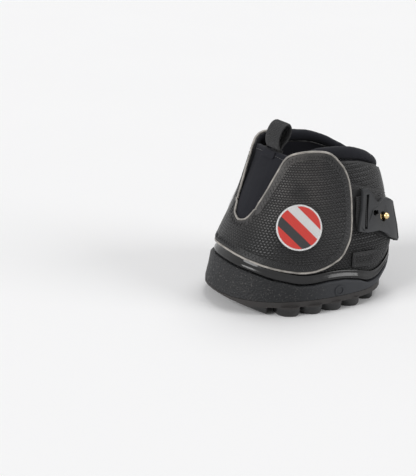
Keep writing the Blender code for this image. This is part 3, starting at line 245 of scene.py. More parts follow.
class RubberSizes(bpy.types.PropertyGroup):
    """Sizes and colours of the rubber and metal"""
    wall_colour: colour_setting(
        "Sole wall", "Colour of the matte sole wall", (0.0095, 0.0100, 0.0112))
    plate_colour: colour_setting(
        "Sole plate", "Colour of the dull plate between the lugs", (0.0150, 0.0130, 0.0125))
    lip_width: length_setting(
        "Lip width", "Width of the raised lip round the heel strap's edges and holes",
        0.0010, 0.0003, 0.003)
    lip_height: length_setting(
        "Lip height", "Height of the lip above the strap's face", 0.00032, 0, 0.002, 5)
    strap_colour: colour_setting(
        "Heel strap", "Colour of the rubber heel strap", (0.0150, 0.0158, 0.0175))
    brass_colour: colour_setting("Brass", "Colour of the ball studs", (0.80, 0.60, 0.30))


class BadgeSizes(bpy.types.PropertyGroup):
    """Sizes and colours of the striped badges"""
    radius: length_setting("Radius", "Radius of the badge over its rim", 0.0194, 0.005, 0.03)
    thickness: length_setting(
        "Thickness", "Height of the badge's face above the leather", 0.0009, 0.0003, 0.003)
    relief: length_setting("Relief", "Height of a satin stripe's crown", 0.00022, 0, 0.001, 5)
    rim_radius: length_setting(
        "Rim radius", "Radius of the overcast rim", 0.00085, 0.0003, 0.002, 5)
    rim_stitches: bpy.props.IntProperty(
        name="Rim stitches", description="Turns of thread round the rim",
        default=132, min=20, max=400)
    stripe_width: length_setting(
        "Stripe width", "Width of one diagonal stripe", 0.0075, 0.002, 0.02)
    rim_colour: colour_setting(
        "Rim thread", "Colour of the thread bound round the badge", (0.80, 0.80, 0.80))
    red_colour: colour_setting("Red thread", "Colour of the red stripes", (0.70, 0.035, 0.022))
    white_colour: colour_setting(
        "White thread", "Colour of the white stripes", (0.78, 0.78, 0.78))
    black_colour: colour_setting(
        "Black thread", "Colour of the black stripes", (0.016, 0.016, 0.018))


class StageSizes(bpy.types.PropertyGroup):
    """Sizes of the floor and the lights"""
    floor_size: length_setting("Floor size", "Length of the floor's sides", 14.0, 1, 50)
    key_power: light_setting("Key light", "Strength of the soft light over the toe", 1.9)
    fill_power: light_setting("Fill light", "Strength of the soft light beside the heel", 1.2)
    back_power: light_setting("Back light", "Strength of the soft light high up behind", 1.0)
    sky_power: light_setting("Sky", "Strength of the even light from all round", 0.27)
    lamp_angle: bpy.props.FloatProperty(
        name="Lamp angle", description="Width of each lamp as seen from the boot",
        default=math.radians(34), min=0, max=math.pi, subtype="ANGLE")


# Shader maths

class Wire:
    """A value in a material's nodes that takes Python's operators."""

    def __init__(self, finish, socket):
        self.finish = finish
        self.socket = socket

    def maths(self, operation, *values):
        """Work on this value and others with one Math node."""
        return self.finish.node("Math", dict(enumerate((self, *values))), operation=operation)

    def wave(self, rate):
        """Return a sine of this value, at so many radians to the unit."""
        return (self * rate).maths("SINE")

    def __add__(self, other):
        return self.maths("ADD", other)

    def __sub__(self, other):
        return self.maths("SUBTRACT", other)

    def __rsub__(self, other):
        return self.finish.node("Math", {0: other, 1: self}, operation="SUBTRACT")

    def __mul__(self, other):
        return self.maths("MULTIPLY", other)

    def __truediv__(self, other):
        return self.maths("DIVIDE", other)

    __radd__ = __add__
    __rmul__ = __mul__


class Finish:
    """A material with one Principled surface, or the world, and the nodes that vary it."""

    def __init__(self, name, kind="materials", surface="Principled BSDF", **constants):
        self.material = getattr(bpy.data, kind).new(name)
        self.material.use_nodes = True
        self.tree = self.material.node_tree
        self.surface = self.tree.nodes[surface]
        for socket, value in constants.items():
            socket = socket.replace("_", " ").title().replace("Ior", "IOR")
            self.surface.inputs[socket].default_value = value

    def node(self, kind, inputs=None, output=0, **settings):
        """Add a node of a kind, its settings first and then its inputs."""
        made = self.tree.nodes.new("ShaderNode" + kind)
        for setting, value in settings.items():
            setattr(made, setting, value)
        for socket, value in (inputs or {}).items():
            if isinstance(value, Wire):
                self.tree.links.new(value.socket, made.inputs[socket])
            else:
                made.inputs[socket].default_value = value
        return Wire(self, made.outputs[output])

    def place(self):
        """Return the surface's place on the boot."""
        return self.node("TexCoord", output="Object")

    def split(self, vector):
        """Return the three numbers of a vector."""
        made = self.node("SeparateXYZ", {0: vector})
        return [Wire(self, socket) for socket in made.socket.node.outputs]

    def xyz(self):
        """Return the three numbers of the surface's place."""
        return self.split(self.place())

    def wrap(self, name="wrap"):
        """Return how far round and how high the surface lies, read from its UV map."""
        return self.split(self.node("UVMap", uv_map=name))[:2]

    def tag(self, name):
        """Return a number that is stored on the surface's corners."""
        return self.node("Attribute", output="Fac", attribute_name=name)

    def noise(self, scale, detail):
        """Return soft noise with so many lumps to the metre."""
        inputs = {"Vector": self.place(), "Scale": scale, "Detail": detail}
        return self.node("TexNoise", inputs, output="Fac")

    def cells(self, scale):
        """Return the distance to the middle of the nearest cell."""
        inputs = {"Vector": self.place(), "Scale": scale}
        return self.node("TexVoronoi", inputs, output="Distance")

    def ease(self, value, low, high):
        """Rise smoothly from nought at one value to one at the other."""
        inputs = {"Value": value, "From Min": low, "From Max": high}
        return self.node("MapRange", inputs, interpolation_type="SMOOTHSTEP")

    def blend(self, factor, first, second):
        """Mix two colours."""
        inputs = {0: factor}
        for socket, colour in ((6, first), (7, second)):
            inputs[socket] = colour if isinstance(colour, Wire) else (*colour, 1.0)
        return self.node("Mix", inputs, output=2, data_type="RGBA")

    def shades(self, factor, colour, first, second):
        """Mix two shades of a colour, each made lighter or darker by its factor."""
        return self.blend(factor, scaled(colour, first), scaled(colour, second))

    def set(self, socket, value):
        """Wire a value to the surface."""
        self.tree.links.new(value.socket, self.surface.inputs[socket])

    def done(self, colour, roughness, height, depth):
        """Wire the colour, roughness and relief, and return the material."""
        self.set("Base Color", colour)
        self.set("Roughness", roughness)
        self.set("Normal", self.node("Bump", {"Height": height, "Distance": depth}))
        return self.material



def scaled(colour, factor):
    """Return a colour made lighter or darker."""
    return tuple(part * factor for part in colour)


# Finishes: noise takes lumps to the metre and then detail, a wave takes radians to the metre

def scale_bumps(finish, sizes):
    """Return the height of the embossed scales: slanted bricks whose rows lean to and fro."""
    round_way, up_way = finish.wrap()
    rows = up_way / sizes.scale_height
    row = rows.maths("FLOOR")
    odd = row.maths("MODULO", 2.0).maths("ABSOLUTE")
    up = rows - row
    slant = (up - 0.5) * (odd * 2.0 - 1.0) * 0.55
    columns = round_way / sizes.scale_length + odd * 0.5 + slant
    across = columns - columns.maths("FLOOR")
    from_side, from_row = (
        finish.ease(way.maths("MINIMUM", 1.0 - way), 0.0, 0.28) for way in (across, up))
    return from_side * from_row * (0.72 + 0.28 * across)


def leather_finish(name, sizes, embossed=True):
    """Black leather: embossed scales, smooth where sewn; painted shade between scales, painted
    sheen at the toe.
    """
    finish = Finish(name, specular_ior_level=0.38)
    _, y, z = finish.xyz()
    grain = finish.noise(900.0, 4.0)
    patches = finish.noise(38.0, 2.0)
    # Painted sheen: a grey-brown highlight painted in patches over the front of the toe and flaps,
    # up high
    painted_sheen = finish.ease(y * -1.0, -0.010, 0.026) * finish.ease(z, 0.060, 0.100)
    painted_sheen = painted_sheen * finish.ease(patches, 0.15, 0.7)
    colour = finish.blend(painted_sheen, sizes.leather_colour, sizes.painted_sheen_colour)
    if embossed:
        height = scale_bumps(finish, sizes)
        band = sizes.stitch_band
        sewn = 1.0 - finish.ease(finish.tag("edge"), band, band + 0.0008)
        height = height * (1.0 - sewn) + sewn * 0.55
        # Painted shade: the hollows between the scales darken to 0.15 of the leather's colour
        crown = finish.ease(height, 0.05, 0.7)
        colour = finish.blend(crown, scaled(sizes.leather_colour, 0.15), colour)
        rough = 0.46 - height * 0.16 + sewn * 0.12
        bumps, depth = height + grain * 0.10, 0.0011
    else:
        rough = 0.42 + patches * 0.12
        bumps, depth = grain + finish.noise(160.0, 3.0) * 0.6, 0.00012
    return finish.done(colour, rough + grain * 0.08, bumps, depth)


def neoprene_finish(name, sizes):
    """Neoprene faced with fine knitted jersey."""
    finish = Finish(name, sheen_weight=0.03, sheen_roughness=0.5, specular_ior_level=0.25)
    x, y, z = finish.xyz()
    knit = z.wave(5200.0) * (x + y).wave(4300.0)
    fuzz = finish.noise(1400.0, 3.0)
    mottle = finish.noise(45.0, 3.0) * 0.7 + fuzz * 0.3
    colour = finish.shades(mottle, sizes.neoprene_colour, 0.75, 1.45)
    return finish.done(colour, 0.82 + fuzz * 0.14, knit * 0.4 + fuzz, 0.00009)


def piping_finish(name, sizes):
    """Reflective piping: a pale woven face with grey dirt in its folds."""
    finish = Finish(name, specular_ior_level=0.6)
    x, y, z = finish.xyz()
    weave = z.wave(3600.0) * (x - y).wave(3600.0)
    wear_and_shade = finish.noise(120.0, 4.0)
    colour = finish.shades(finish.ease(wear_and_shade, 0.32, 0.62), sizes.piping_colour, 0.62, 1.15)
    return finish.done(colour, 0.42 + wear_and_shade * 0.25, weave * 0.5 + wear_and_shade, 0.0001)


def webbing_finish(name, colour, upright=False, ribbed=False):
    """Black webbing with ribs across it, elastic with upright ribs, or ribs already modelled."""
    finish = Finish(name, sheen_weight=0.05, sheen_roughness=0.4, specular_ior_level=0.4)
    x, y, z = finish.xyz()
    along, across = (finish.wrap()[0], z) if upright else (z, x + y)
    wave = along.wave(3900.0)
    ribs = finish.tag("rib") if ribbed else wave * 0.5 + 0.5
    yarn = (across * 6200.0 + wave).maths("SINE") * 0.5 + 0.5
    fibre = finish.noise(1600.0, 3.0)
    # Painted shade and highlight: the ribs' grooves darken to 0.2 of the colour, their crowns
    # lighten
    crown = 2.8 if ribbed else 2.1
    colour = finish.shades(ribs * 0.7 + fibre * 0.3, colour, 0.2, crown)
    bumps = ribs * 0.7 + yarn * 0.5 + fibre * 0.3
    return finish.done(colour, 0.7 + fibre * 0.2, bumps, 0.00022)


def thread_finish(name, colour):
    """Twisted sewing thread."""
    finish = Finish(name, sheen_weight=0.15)
    x, y, z = finish.xyz()
    twist = (x + y + z).wave(9000.0) * 0.5 + 0.5
    # Painted shade and highlight along the twist: darker in its grooves, lighter on its ridges
    colour = finish.shades(twist, colour, 0.6, 1.3)
    return finish.done(colour, 0.5 + twist * 0.2, twist, 0.00008)


def fuzzy_finish(name, colour):
    """Hook and loop fastener: a field of fine hooks."""
    finish = Finish(name, sheen_weight=0.25)
    hooks = finish.cells(1100.0)
    fibre = finish.noise(2100.0, 3.0)
    # Painted shade and highlight: lighter on the hooks' tufts, darker between them
    colour = finish.shades(hooks * 1.4, colour, 1.8, 0.5)
    return finish.done(colour, 0.85 + fibre * 0.12, (1.0 - hooks) + fibre * 0.5, 0.0004)


def rubber_finish(name, colour, roughness=0.6):
    """Moulded matte rubber with a fine mould grain and faint scuffs."""
    finish = Finish(name, specular_ior_level=0.4)
    fine = finish.noise(1680.0, 3.0)
    scuff = finish.noise(70.0, 5.0)
    colour = finish.shades(scuff, colour, 0.75, 1.5)
    rough = roughness - 0.1 + scuff * 0.16 + fine * 0.06
    return finish.done(colour, rough, fine + finish.noise(420.0, 3.0) * 0.8, 0.00005)


def wall_finish(name, colour):
    """Sole wall: smooth matte and painted lighter at the heel, pebbled towards the toe with painted
    glints.
    """
    finish = Finish(name, specular_ior_level=0.3)
    front = finish.ease(finish.xyz()[1] * -1.0, -0.012, 0.045)
    pebbles = 1.0 - finish.cells(560.0)
    # Painted glints: pale specks at random over the pebbled toe, which are also less rough there
    painted_glints = finish.ease(finish.noise(640.0, 2.0), 0.60, 0.68) * front
    scuff = finish.noise(60.0, 5.0)
    # Painted light: the heel end of the wall is painted 3.6 times lighter than the toe
    colour = finish.blend(front, scaled(colour, 3.6), finish.shades(scuff, colour, 0.7, 1.35))
    colour = finish.blend(painted_glints * 0.55, colour, (0.105, 0.100, 0.095))
    rough = 0.60 - painted_glints * 0.22 + scuff * 0.12 - front * 0.1
    bumps = pebbles * front * 0.9 + painted_glints * 0.4 + finish.noise(1500.0, 3.0) * 0.12
    return finish.done(colour, rough, bumps, 0.00055)


def gloss_finish(name):
    """Glossy moulded rim with soft ripples and a film of dust."""
    finish = Finish(name, specular_ior_level=0.4)
    film = finish.noise(55.0, 4.0)
    colour = finish.blend(film, (0.003, 0.003, 0.0035), (0.009, 0.009, 0.0095))
    rough = 0.10 + finish.ease(film, 0.42, 0.75) * 0.2
    return finish.done(colour, rough, finish.noise(90.0, 2.0), 0.00045)


def sole_finish(name, colour):
    """Outsole: a dull brown-black plate, with polished lugs below it."""
    finish = Finish(name, specular_ior_level=0.55)
    lug = 1.0 - finish.ease(finish.xyz()[2], 0.0062, 0.0084)
    mud = finish.noise(34.0, 5.0)
    colour = finish.blend(lug, finish.shades(mud, colour, 0.7, 1.6), (0.009, 0.009, 0.0095))
    bumps = finish.noise(750.0, 4.0) * (1.0 - lug * 0.85) + finish.noise(110.0, 2.0) * lug
    return finish.done(colour, 0.62 + mud * 0.12 - lug * 0.42, bumps, 0.00024)


def metal_finish(name, colour, roughness):
    """Turned metal: fine tool marks and a little tarnish."""
    finish = Finish(name, metallic=1.0)
    marks = finish.xyz()[2].wave(9000.0)
    tarnish = finish.noise(260.0, 4.0)
    colour = finish.shades(finish.ease(tarnish, 0.45, 0.8), colour, 1.0, 0.6)
    rough = roughness + finish.ease(tarnish, 0.4, 0.8) * 0.2
    return finish.done(colour, rough, marks * 0.3 + tarnish, 0.00003)


def foam_finish(name, colour):
    """Footbed cloth over foam, with the dimples of its open weave darkened by painted shade."""
    finish = Finish(name, sheen_weight=0.12)
    holes = finish.cells(420.0)
    wear = finish.noise(35.0, 4.0)
    # Painted shade: the dimples darken to 0.3 of the colour, varied by wear
    wear_and_shade = finish.ease(holes, 0.0, 0.35) * (0.6 + wear * 0.4)
    colour = finish.shades(wear_and_shade, colour, 0.3, 1.3)
    return finish.done(colour, 0.84 + wear * 0.12, finish.ease(holes, 0.0, 0.4), 0.0003)


def badge_finish(name, sizes):
    """Embroidered badge: diagonal stripes of satin stitches, red between white and black."""
    finish = Finish(name, sheen_weight=0.2)
    across, up = finish.wrap("badge")
    slanted = (across + up) * math.sqrt(0.5) / sizes.stripe_width
    stripe = (slanted + 0.5).maths("FLOOR").maths("FLOORED_MODULO", 4.0)
    first, second, black = (stripe.maths("COMPARE", place, 0.1) for place in (0.0, 2.0, 3.0))
    colour = finish.blend(black, sizes.white_colour, sizes.black_colour)
    colour = finish.blend(first + second, colour, sizes.red_colour)
    satin = (across - up).wave(7000.0) * 0.5 + 0.5
    fibre = finish.noise(1500.0, 2.0)
    colour = finish.blend(satin * 0.3, colour, (0.02, 0.02, 0.02))
    return finish.done(colour, 0.5 + fibre * 0.2, satin + fibre * 0.4, 0.00022)


def shared(name):
    """Return a material that several pieces share, made on its first use."""
    sizes = bpy.context.scene.boot_upper
    maker, values = {
        "black thread": (thread_finish, sizes.thread_colour),
        "embossed leather": (leather_finish, sizes),
        "jersey neoprene": (neoprene_finish, sizes),
        "ribbed webbing": (webbing_finish, sizes.webbing_colour),
        "reflective piping": (piping_finish, sizes),
    }[name]
    return bpy.data.materials.get(name) or maker(name, values)


# Modelling by hand, in code

def select_only(piece):
    """Select one piece alone, and make it active."""
    bpy.ops.object.select_all(action="DESELECT")
    piece.select_set(True)
    bpy.context.view_layer.objects.active = piece


@contextmanager
def editing(piece, kind="VERT", select="SELECT"):
    """Work on one piece in edit mode, with all of it or none of it selected."""
    select_only(piece)
    bpy.ops.object.mode_set(mode="EDIT")
    bpy.ops.mesh.select_mode(type=kind)
    bpy.ops.mesh.select_all(action=select)
    yield
    bpy.ops.object.mode_set(mode="OBJECT")


@contextmanager
def chosen(piece, test):
    """Work in edit mode with only the faces that pass a test selected."""
    with editing(piece, "FACE", "DESELECT"):
        bpy.ops.object.mode_set(mode="OBJECT")
        for face in piece.data.polygons:
            face.select = bool(test(face))
        bpy.ops.object.mode_set(mode="EDIT")
        yield


def modify(piece, kind, **settings):
    """Add a modifier with its settings, and apply it."""
    select_only(piece)
    modifier = piece.modifiers.new(kind.title(), kind)
    for setting, value in settings.items():
        setattr(modifier, setting, value)
    bpy.ops.object.modifier_apply(modifier=modifier.name)
    return piece


def subdivide(piece, levels, **settings):
    """Round a piece with a subdivision surface."""
    if not levels:
        return piece
    return modify(piece, "SUBSURF", levels=levels, render_levels=levels, **settings)


def bevel(piece, width, angle):
    """Round the edges of a piece that are sharper than an angle in degrees."""
    return modify(piece, "BEVEL", width=width, segments=2, limit_method="ANGLE",
                  angle_limit=math.radians(angle))


def shade(piece, angle):
    """Shade a piece smooth, but for edges sharper than an angle in degrees."""
    select_only(piece)
    bpy.ops.object.shade_smooth_by_angle(angle=math.radians(angle))
    return piece


def link_new(name, data):
    """Put a new object in the scene."""
    made = bpy.data.objects.new(name, data)
    bpy.context.scene.collection.objects.link(made)
    return made


def name_new(name):
    """Name the object that was just added, and return it."""
    piece = bpy.context.view_layer.objects.active
    piece.name = piece.data.name = name
    return piece


def new_grid(name, columns, rows, size):
    """Add a flat grid, to be bent into a piece."""
    bpy.ops.object.select_all(action="DESELECT")
    bpy.ops.mesh.primitive_grid_add(x_subdivisions=columns, y_subdivisions=rows, size=size)
    return name_new(name)


def copy_node(node, name):
    """Copy a node of the part, with its loose triangles merged into quads."""
    select_only(frame["nodes"][node])
    bpy.ops.object.duplicate()
    bpy.ops.object.parent_clear(type="CLEAR_KEEP_TRANSFORM")
    piece = name_new(name)
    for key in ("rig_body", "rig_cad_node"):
        del piece[key]
    piece.data.materials.clear()
    with editing(piece):
        bpy.ops.mesh.customdata_custom_splitnormals_clear()
        bpy.ops.mesh.remove_doubles(threshold=MERGE_REACH)
        bpy.ops.mesh.tris_convert_to_quads(
            face_threshold=math.radians(30), shape_threshold=math.radians(60))
    return piece


def finish_piece(piece, material, nodes):
    """Give a piece its material, if it has none, and let it stand for nodes."""
    if not piece.data.materials:
        piece.data.materials.append(material)
    if nodes:
        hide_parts(*nodes)


def seat(piece, material, body, *nodes, slot=None):
    """Finish a piece and let it ride on its body."""
    finish_piece(piece, material, nodes)
    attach(piece, body)
    return piece


def corners(piece):
    """Return a mesh's corners as an array."""
    places = np.zeros(len(piece.data.vertices) * 3)
    piece.data.vertices.foreach_get("co", places)
    return places.reshape(-1, 3)


def move_corners(piece, places):
    """Put a mesh's corners at new places."""
    piece.data.vertices.foreach_set("co", np.asarray(places, float).ravel())
    piece.data.update()


def grow(piece, rise):
    """Move a mesh's corners along their normals."""
    normals = np.array([vertex.normal for vertex in piece.data.vertices])
    move_corners(piece, corners(piece) + normals * rise)


def tag(piece, name, values):
    """Store a number on each of a piece's corners."""
    attribute = piece.data.attributes.new(name, "FLOAT", "POINT")
    attribute.data.foreach_set("value", values)


def store_map(piece, name, flat):
    """Store a flat place in metres for each corner as a UV map."""
    layer = piece.data.uv_layers.new(name=name)
    loops = np.zeros(len(piece.data.loops), int)
    piece.data.loops.foreach_get("vertex_index", loops)
    layer.data.foreach_set("uv", flat[loops].ravel())


def lengths_along(places):
    """Return the length along a run up to each of its places."""
    steps = np.linalg.norm(np.diff(places, axis=0), axis=1)
    return np.concatenate(([0], np.cumsum(steps)))


def wrap_lengths():
    """Return angles round the last, and the length round it from the toe to each."""
    angles = np.linspace(-math.pi, math.pi, 2 * WRAP_STEPS + 1)
    reach = np.where(np.abs(angles) < math.pi / 2, TOE_REACH, HEEL_REACH)
    across, ahead = np.sin(angles), np.cos(angles)
    wide, long = np.abs(across) / HALF_WIDTH, np.abs(ahead) / reach
    radius = 1 / (wide ** PLAN_POWER + long ** PLAN_POWER) ** (1 / PLAN_POWER)
    lengths = lengths_along(np.column_stack((radius * across, -radius * ahead)))
    return angles, lengths - lengths[WRAP_STEPS]


WRAP_ANGLES, WRAP_LENGTHS = wrap_lengths()


def wrap_map(piece, side=0):
    """Give a piece a UV map in metres: how far round the last, and how high."""
    places = corners(piece)
    angles = np.arctan2(places[:, 0], -(places[:, 1] - WIDEST_Y))
    if side:
        angles = np.where(angles * side < -1, angles + side * 2 * math.pi, angles)
    lengths = np.interp(angles, WRAP_ANGLES, WRAP_LENGTHS)
    store_map(piece, "wrap", np.column_stack((lengths, places[:, 2] * LEAN)))
    return piece


def skin_tree(piece):
    """Return a search tree of a piece's faces."""
    return BVHTree.FromPolygons(
        [vertex.co for vertex in piece.data.vertices],
        [face.vertices for face in piece.data.polygons])


def outward(place):
    """Return the level direction from the middle of the last to a place."""
    way = Vector((place[0], place[1] - WIDEST_Y, 0))
    return way.normalized() if way.length else Vector((0, 0, 1))


def outer_skin(piece, thickness):
    """Cut a panel's copy down to the faces that have its inner face just behind them."""
    tree = skin_tree(piece)

    def inner(face):
        start = face.center - face.normal * thickness * RAY_START
        depth = tree.ray_cast(start, -face.normal)[3]
        if depth is None or depth >= thickness * RAY_REACH:
            return True
        return face.normal.dot(outward(face.center)) <= OUTWARD_SHARE

    with chosen(piece, inner):
        bpy.ops.mesh.delete(type="FACE")
    with editing(piece, "EDGE"):
        bpy.ops.mesh.fill_holes(sides=4)
    return piece


def open_edges(piece):
    """Return the closed runs of corners along a sheet's open edges, the longest first."""
    used = {}
    for face in piece.data.polygons:
        for key in face.edge_keys:
            used[key] = used.get(key, 0) + 1
    links = {}
    for a, b in (key for key, count in used.items() if count == 1):
        links.setdefault(a, []).append(b)
        links.setdefault(b, []).append(a)
    runs = []
    while links:
        start = next(iter(links))
        run, here, last = [start], start, None
        while True:
            ahead = [i for i in links[here] if i != last]
            if not ahead or ahead[0] == start:
                break
            last, here = here, ahead[0]
            run.append(here)
        for index in run:
            links.pop(index, None)
        runs.append([piece.data.vertices[index].co.copy() for index in run])
    return sorted(runs, key=len, reverse=True)


def resample(run, pitch, closed=False):
    """Return places along a run at an even pitch."""
    places = np.array([list(place) for place in run])
    if closed:
        places = np.vstack((places, places[:1]))
    lengths = lengths_along(places)
    count = max(3, round(lengths[-1] / pitch))
    wanted = np.linspace(0, lengths[-1], count + 1)
    if closed:
        wanted = wanted[:-1]
    return np.column_stack([np.interp(wanted, lengths, places[:, i]) for i in range(3)])


def inset_run(run, tree, inset, lift=0.0, closed=True):
    """Move a run along the surface by an inset, and off it by a lift."""
    count = len(run)
    trial = {1: [], -1: []}
    for i, place in enumerate(map(Vector, run)):
        a, b = (i - 1, (i + 1) % count) if closed else (max(i - 1, 0), min(i + 1, count - 1))
        tangent = Vector(run[b]) - Vector(run[a])
        inwards = tree.find_nearest(place)[1].cross(tangent).normalized()
        for way, places in trial.items():
            places.append(place + inwards * inset * way)
    # The run that leaves the sheet less is the one on its inner side
    best = min(trial.values(), key=lambda places: sum(tree.find_nearest(p)[3] for p in places[::4]))
    return [on_skin(tree, place, lift) for place in best]


def on_skin(tree, place, lift):
    """Return the place on a surface nearest to a place, lifted off it."""
    nearest, normal, _, _ = tree.find_nearest(Vector(place))
    return nearest + normal * lift


def distances(piece, runs, step=0.0005):
    """Return how far each of a piece's corners lies from the nearest of some runs."""
    dense = [place for run in runs for place in resample(run, step)]
    tree = KDTree(len(dense))
    for index, place in enumerate(dense):
        tree.insert(place, index)
    tree.balance()
    return np.array([tree.find(vertex.co)[2] for vertex in piece.data.vertices])


def cord_piece(name, runs, radius, closed=False, sides=0, wobble=0.0):
    """Run a round cord along places, with a slight wobble in its radius, and make it a mesh."""
    curve = bpy.data.curves.new(name, "CURVE")
    curve.dimensions = "3D"
    curve.bevel_depth = radius
    curve.bevel_resolution = sides
    curve.use_fill_caps = not closed
    for run in runs:
        line = curve.splines.new("POLY")
        line.points.add(len(run) - 1)
        line.use_cyclic_u = closed
        for index, (point, place) in enumerate(zip(line.points, run)):
            point.co = (*place, 1.0)
            point.radius = 1 + wobble * math.prod(math.sin(rate * index) for rate in WOBBLE_RATES)
    select_only(link_new(name, curve))
    bpy.ops.object.convert(target="MESH")
    piece = bpy.context.view_layer.objects.active
    with editing(piece):
        bpy.ops.mesh.remove_doubles(threshold=MERGE_REACH)
        bpy.ops.mesh.normals_make_consistent(inside=False)
    return shade(piece, 60)


def sew(name, runs, tree, body, slot):
    """Lay short straight stitches of thread along runs on a surface."""
    radius = bpy.context.scene.boot_upper.thread_radius
    lines = []
    for run in runs:
        places = resample(run, radius * STITCH_STEP)
        for i in range(0, len(places) - 3, 4):
            lines.append([
                on_skin(tree, place, radius * lift)
                for place, lift in zip(places[i:], STITCH_LIFTS)])
    seat(cord_piece(name, lines, radius), shared("black thread"), body, slot=slot)


def puff(piece, voxel, pressure, cap, levels=1):
    """Inflate a closed piece with a cloth simulation, no corner moving further than the cap."""
    modify(piece, "REMESH", mode="VOXEL", voxel_size=voxel)
    before = corners(piece)
    cloth = piece.modifiers.new("Cloth", "CLOTH")
    cloth.settings.use_pressure = True
    cloth.settings.uniform_pressure_force = pressure
    cloth.settings.effector_weights.gravity = 0
    cloth.point_cache.frame_end = LAST_FRAME
    for step in range(1, LAST_FRAME + 1):
        bpy.context.scene.frame_set(step)
    select_only(piece)
    bpy.ops.object.modifier_apply(modifier=cloth.name)
    bpy.context.scene.frame_set(1)
    move = corners(piece) - before
    length = np.linalg.norm(move, axis=1, keepdims=True)
    move_corners(piece, before + move * np.minimum(1, cap / np.maximum(length, 1e-9)))
    modify(piece, "SMOOTH", factor=0.5, iterations=3)
    return subdivide(piece, levels)


def fold_plane(name, side, tree):
    """Return a place on a flap's fold, and the way along the leather from it to the flap."""
    joint = JOINTS[f"{name}_flap_fold"]
    place, axis = Vector(joint["pos_m"]), Vector(joint["axis"])
    way = axis.cross(tree.find_nearest(place)[1]).normalized()
    return place, way if way.x * side > 0 else -way


def close_folds(piece, planes):
    """Draw a sheet's edges along the folds up to them, so that the leather runs on."""
    places = corners(piece)
    for spot, way in planes:
        reach = (places - np.array(spot)) @ np.array(way)
        near = np.where(np.abs(reach) < FOLD_REACH, reach * 0.96, 0)
        places -= np.outer(near, np.array(way))
    move_corners(piece, places)


def free_runs(run, planes):
    """Return the stretches of a closed run of corners that don't lie along a fold."""
    if not planes:
        return [[*run, run[0]]]
    lies = [
        any(abs((place - spot).dot(way)) < FOLD_REACH for spot, way in planes) for place in run]
    stretches = []
    for first in range(len(run)):
        i = (first + 1) % len(run)
        if lies[i] or not lies[first]:
            continue
        stretch = [run[first]]
        while not lies[i]:
            stretch.append(run[i])
            i = (i + 1) % len(run)
        stretches.append([*stretch, run[i]])
    return stretches


def sheet_skin(node, name, thickness, side=0, levels=2, folds=()):
    """Return a panel's outer face, rounded and mapped, and the planes of its folds."""
    piece = outer_skin(copy_node(node, name), thickness)
    subdivide(piece, levels, boundary_smooth="PRESERVE_CORNERS" if folds else "ALL")
    tree = skin_tree(piece)
    planes = [fold_plane(*fold, tree) for fold in folds]
    close_folds(piece, planes)
    return wrap_map(piece, side), planes


def thicken(piece, thickness):
    """Give a sheet its thickness, inwards, and round edges; its last material lines it."""
    modify(piece, "SOLIDIFY", thickness=thickness, offset=-1,
           material_offset=len(piece.data.materials) - 1)
    return shade(bevel(piece, SHEET_EDGE, 50), 50)


def swell(piece, values, start, end, height):
    """Raise a sheet's field above its sewn edge, by the distance from the edge."""
    t = np.clip((values - start) / (end - start), 0, 1)
    grow(piece, (t * t * (3 - 2 * t) * height)[:, None])


def places_on(tree, points, side=1):
    """Return the places on a surface at angles round the last and heights."""
    run = []
    for angle, height in points:
        turn = math.radians(angle)
        way = Vector((side * math.sin(turn), -math.cos(turn), 0))
        hit = tree.ray_cast(Vector((0, WIDEST_Y, height)) + way * TOE_REACH * 2, -way)[0]
        if hit:
            run.append(hit)
    return run


def plain_sheet(node, name, thickness, material, body, side=0, levels=2):
    """Dress a thin sewn layer."""
    piece, _ = sheet_skin(node, name, thickness, side, levels)
    return seat(thicken(piece, thickness), material, body, node)


def hard_piece(node, name, material, body, edge=0.0, levels=0, angle=35, lip=None):
    """Dress a moulded or turned piece: merged, with a raised lip and rounded edges."""
    piece = copy_node(node, name)
    if lip:
        width, height = lip
        with chosen(piece, lambda face: face.normal.dot(outward(face.center)) > 0.6):
            bpy.ops.mesh.inset(thickness=width, use_boundary=True, use_even_offset=False)
            bpy.ops.transform.shrink_fatten(value=-height)
    subdivide(piece, levels)
    if edge:
        bevel(piece, edge, 40)
    return seat(shade(piece, angle), material, body, node)


def sewn_panel(node, name, thickness, side=0, folds=(), seams=(), levels=3):
    """Shape a leather panel: smooth bands along its free edges and seams, and a raised field."""
    band = bpy.context.scene.boot_upper.stitch_band
    piece, planes = sheet_skin(node, name, thickness, side, levels, folds)
    tree = skin_tree(piece)
    runs = free_runs(open_edges(piece)[0], planes)
    values = distances(piece, runs + [places_on(tree, seam, side) for seam in seams])
    if seams:
        values += band - SEAM_BAND
    tag(piece, "edge", values)
    swell(piece, values, band * FIELD_START, band * FIELD_END, FIELD_RISE)
    for material in ("embossed leather", "jersey neoprene"):
        piece.data.materials.append(shared(material))
    thicken(piece, thickness)
    return piece, tree, runs, planes


def zigzags(name, runs, tree):
    """Sew a zigzag of thread inside the edge of a sheet."""
    sizes = bpy.context.scene.boot_upper
    lines = []
    for run in runs:
        even = resample(run, sizes.stitch_pitch)[1:-1]
        lift = sizes.thread_radius * 0.6
        near, far = (
            inset_run(even, tree, sizes.stitch_band * share, lift, closed=False)
            for share in ZIGZAG_SHARES)
        lines.append([far[i] if i % 2 else near[i] for i in range(len(even))])
    return cord_piece(name, lines, sizes.thread_radius)


def bindings(name, runs, tree):
    """Lay piping just outside the edge of a sheet, with ends that run on a little."""
    radius = bpy.context.scene.boot_upper.piping_radius
    lines = []
    for run in runs:
        even = resample(run, radius * 0.7)
        inner = inset_run(even, tree, PIPING_REACH, closed=False)
        line = [
            2 * Vector(place) - near - tree.find_nearest(near)[1] * PIPING_DEPTH
            for place, near in zip(even, inner)]
        first = line[0] + (line[0] - line[1]).normalized() * PIPING_LAP
        last = line[-1] + (line[-1] - line[-2]).normalized() * PIPING_LAP
        lines.append([first, *line, last])
    return cord_piece(name, lines, radius, sides=2, wobble=0.05)


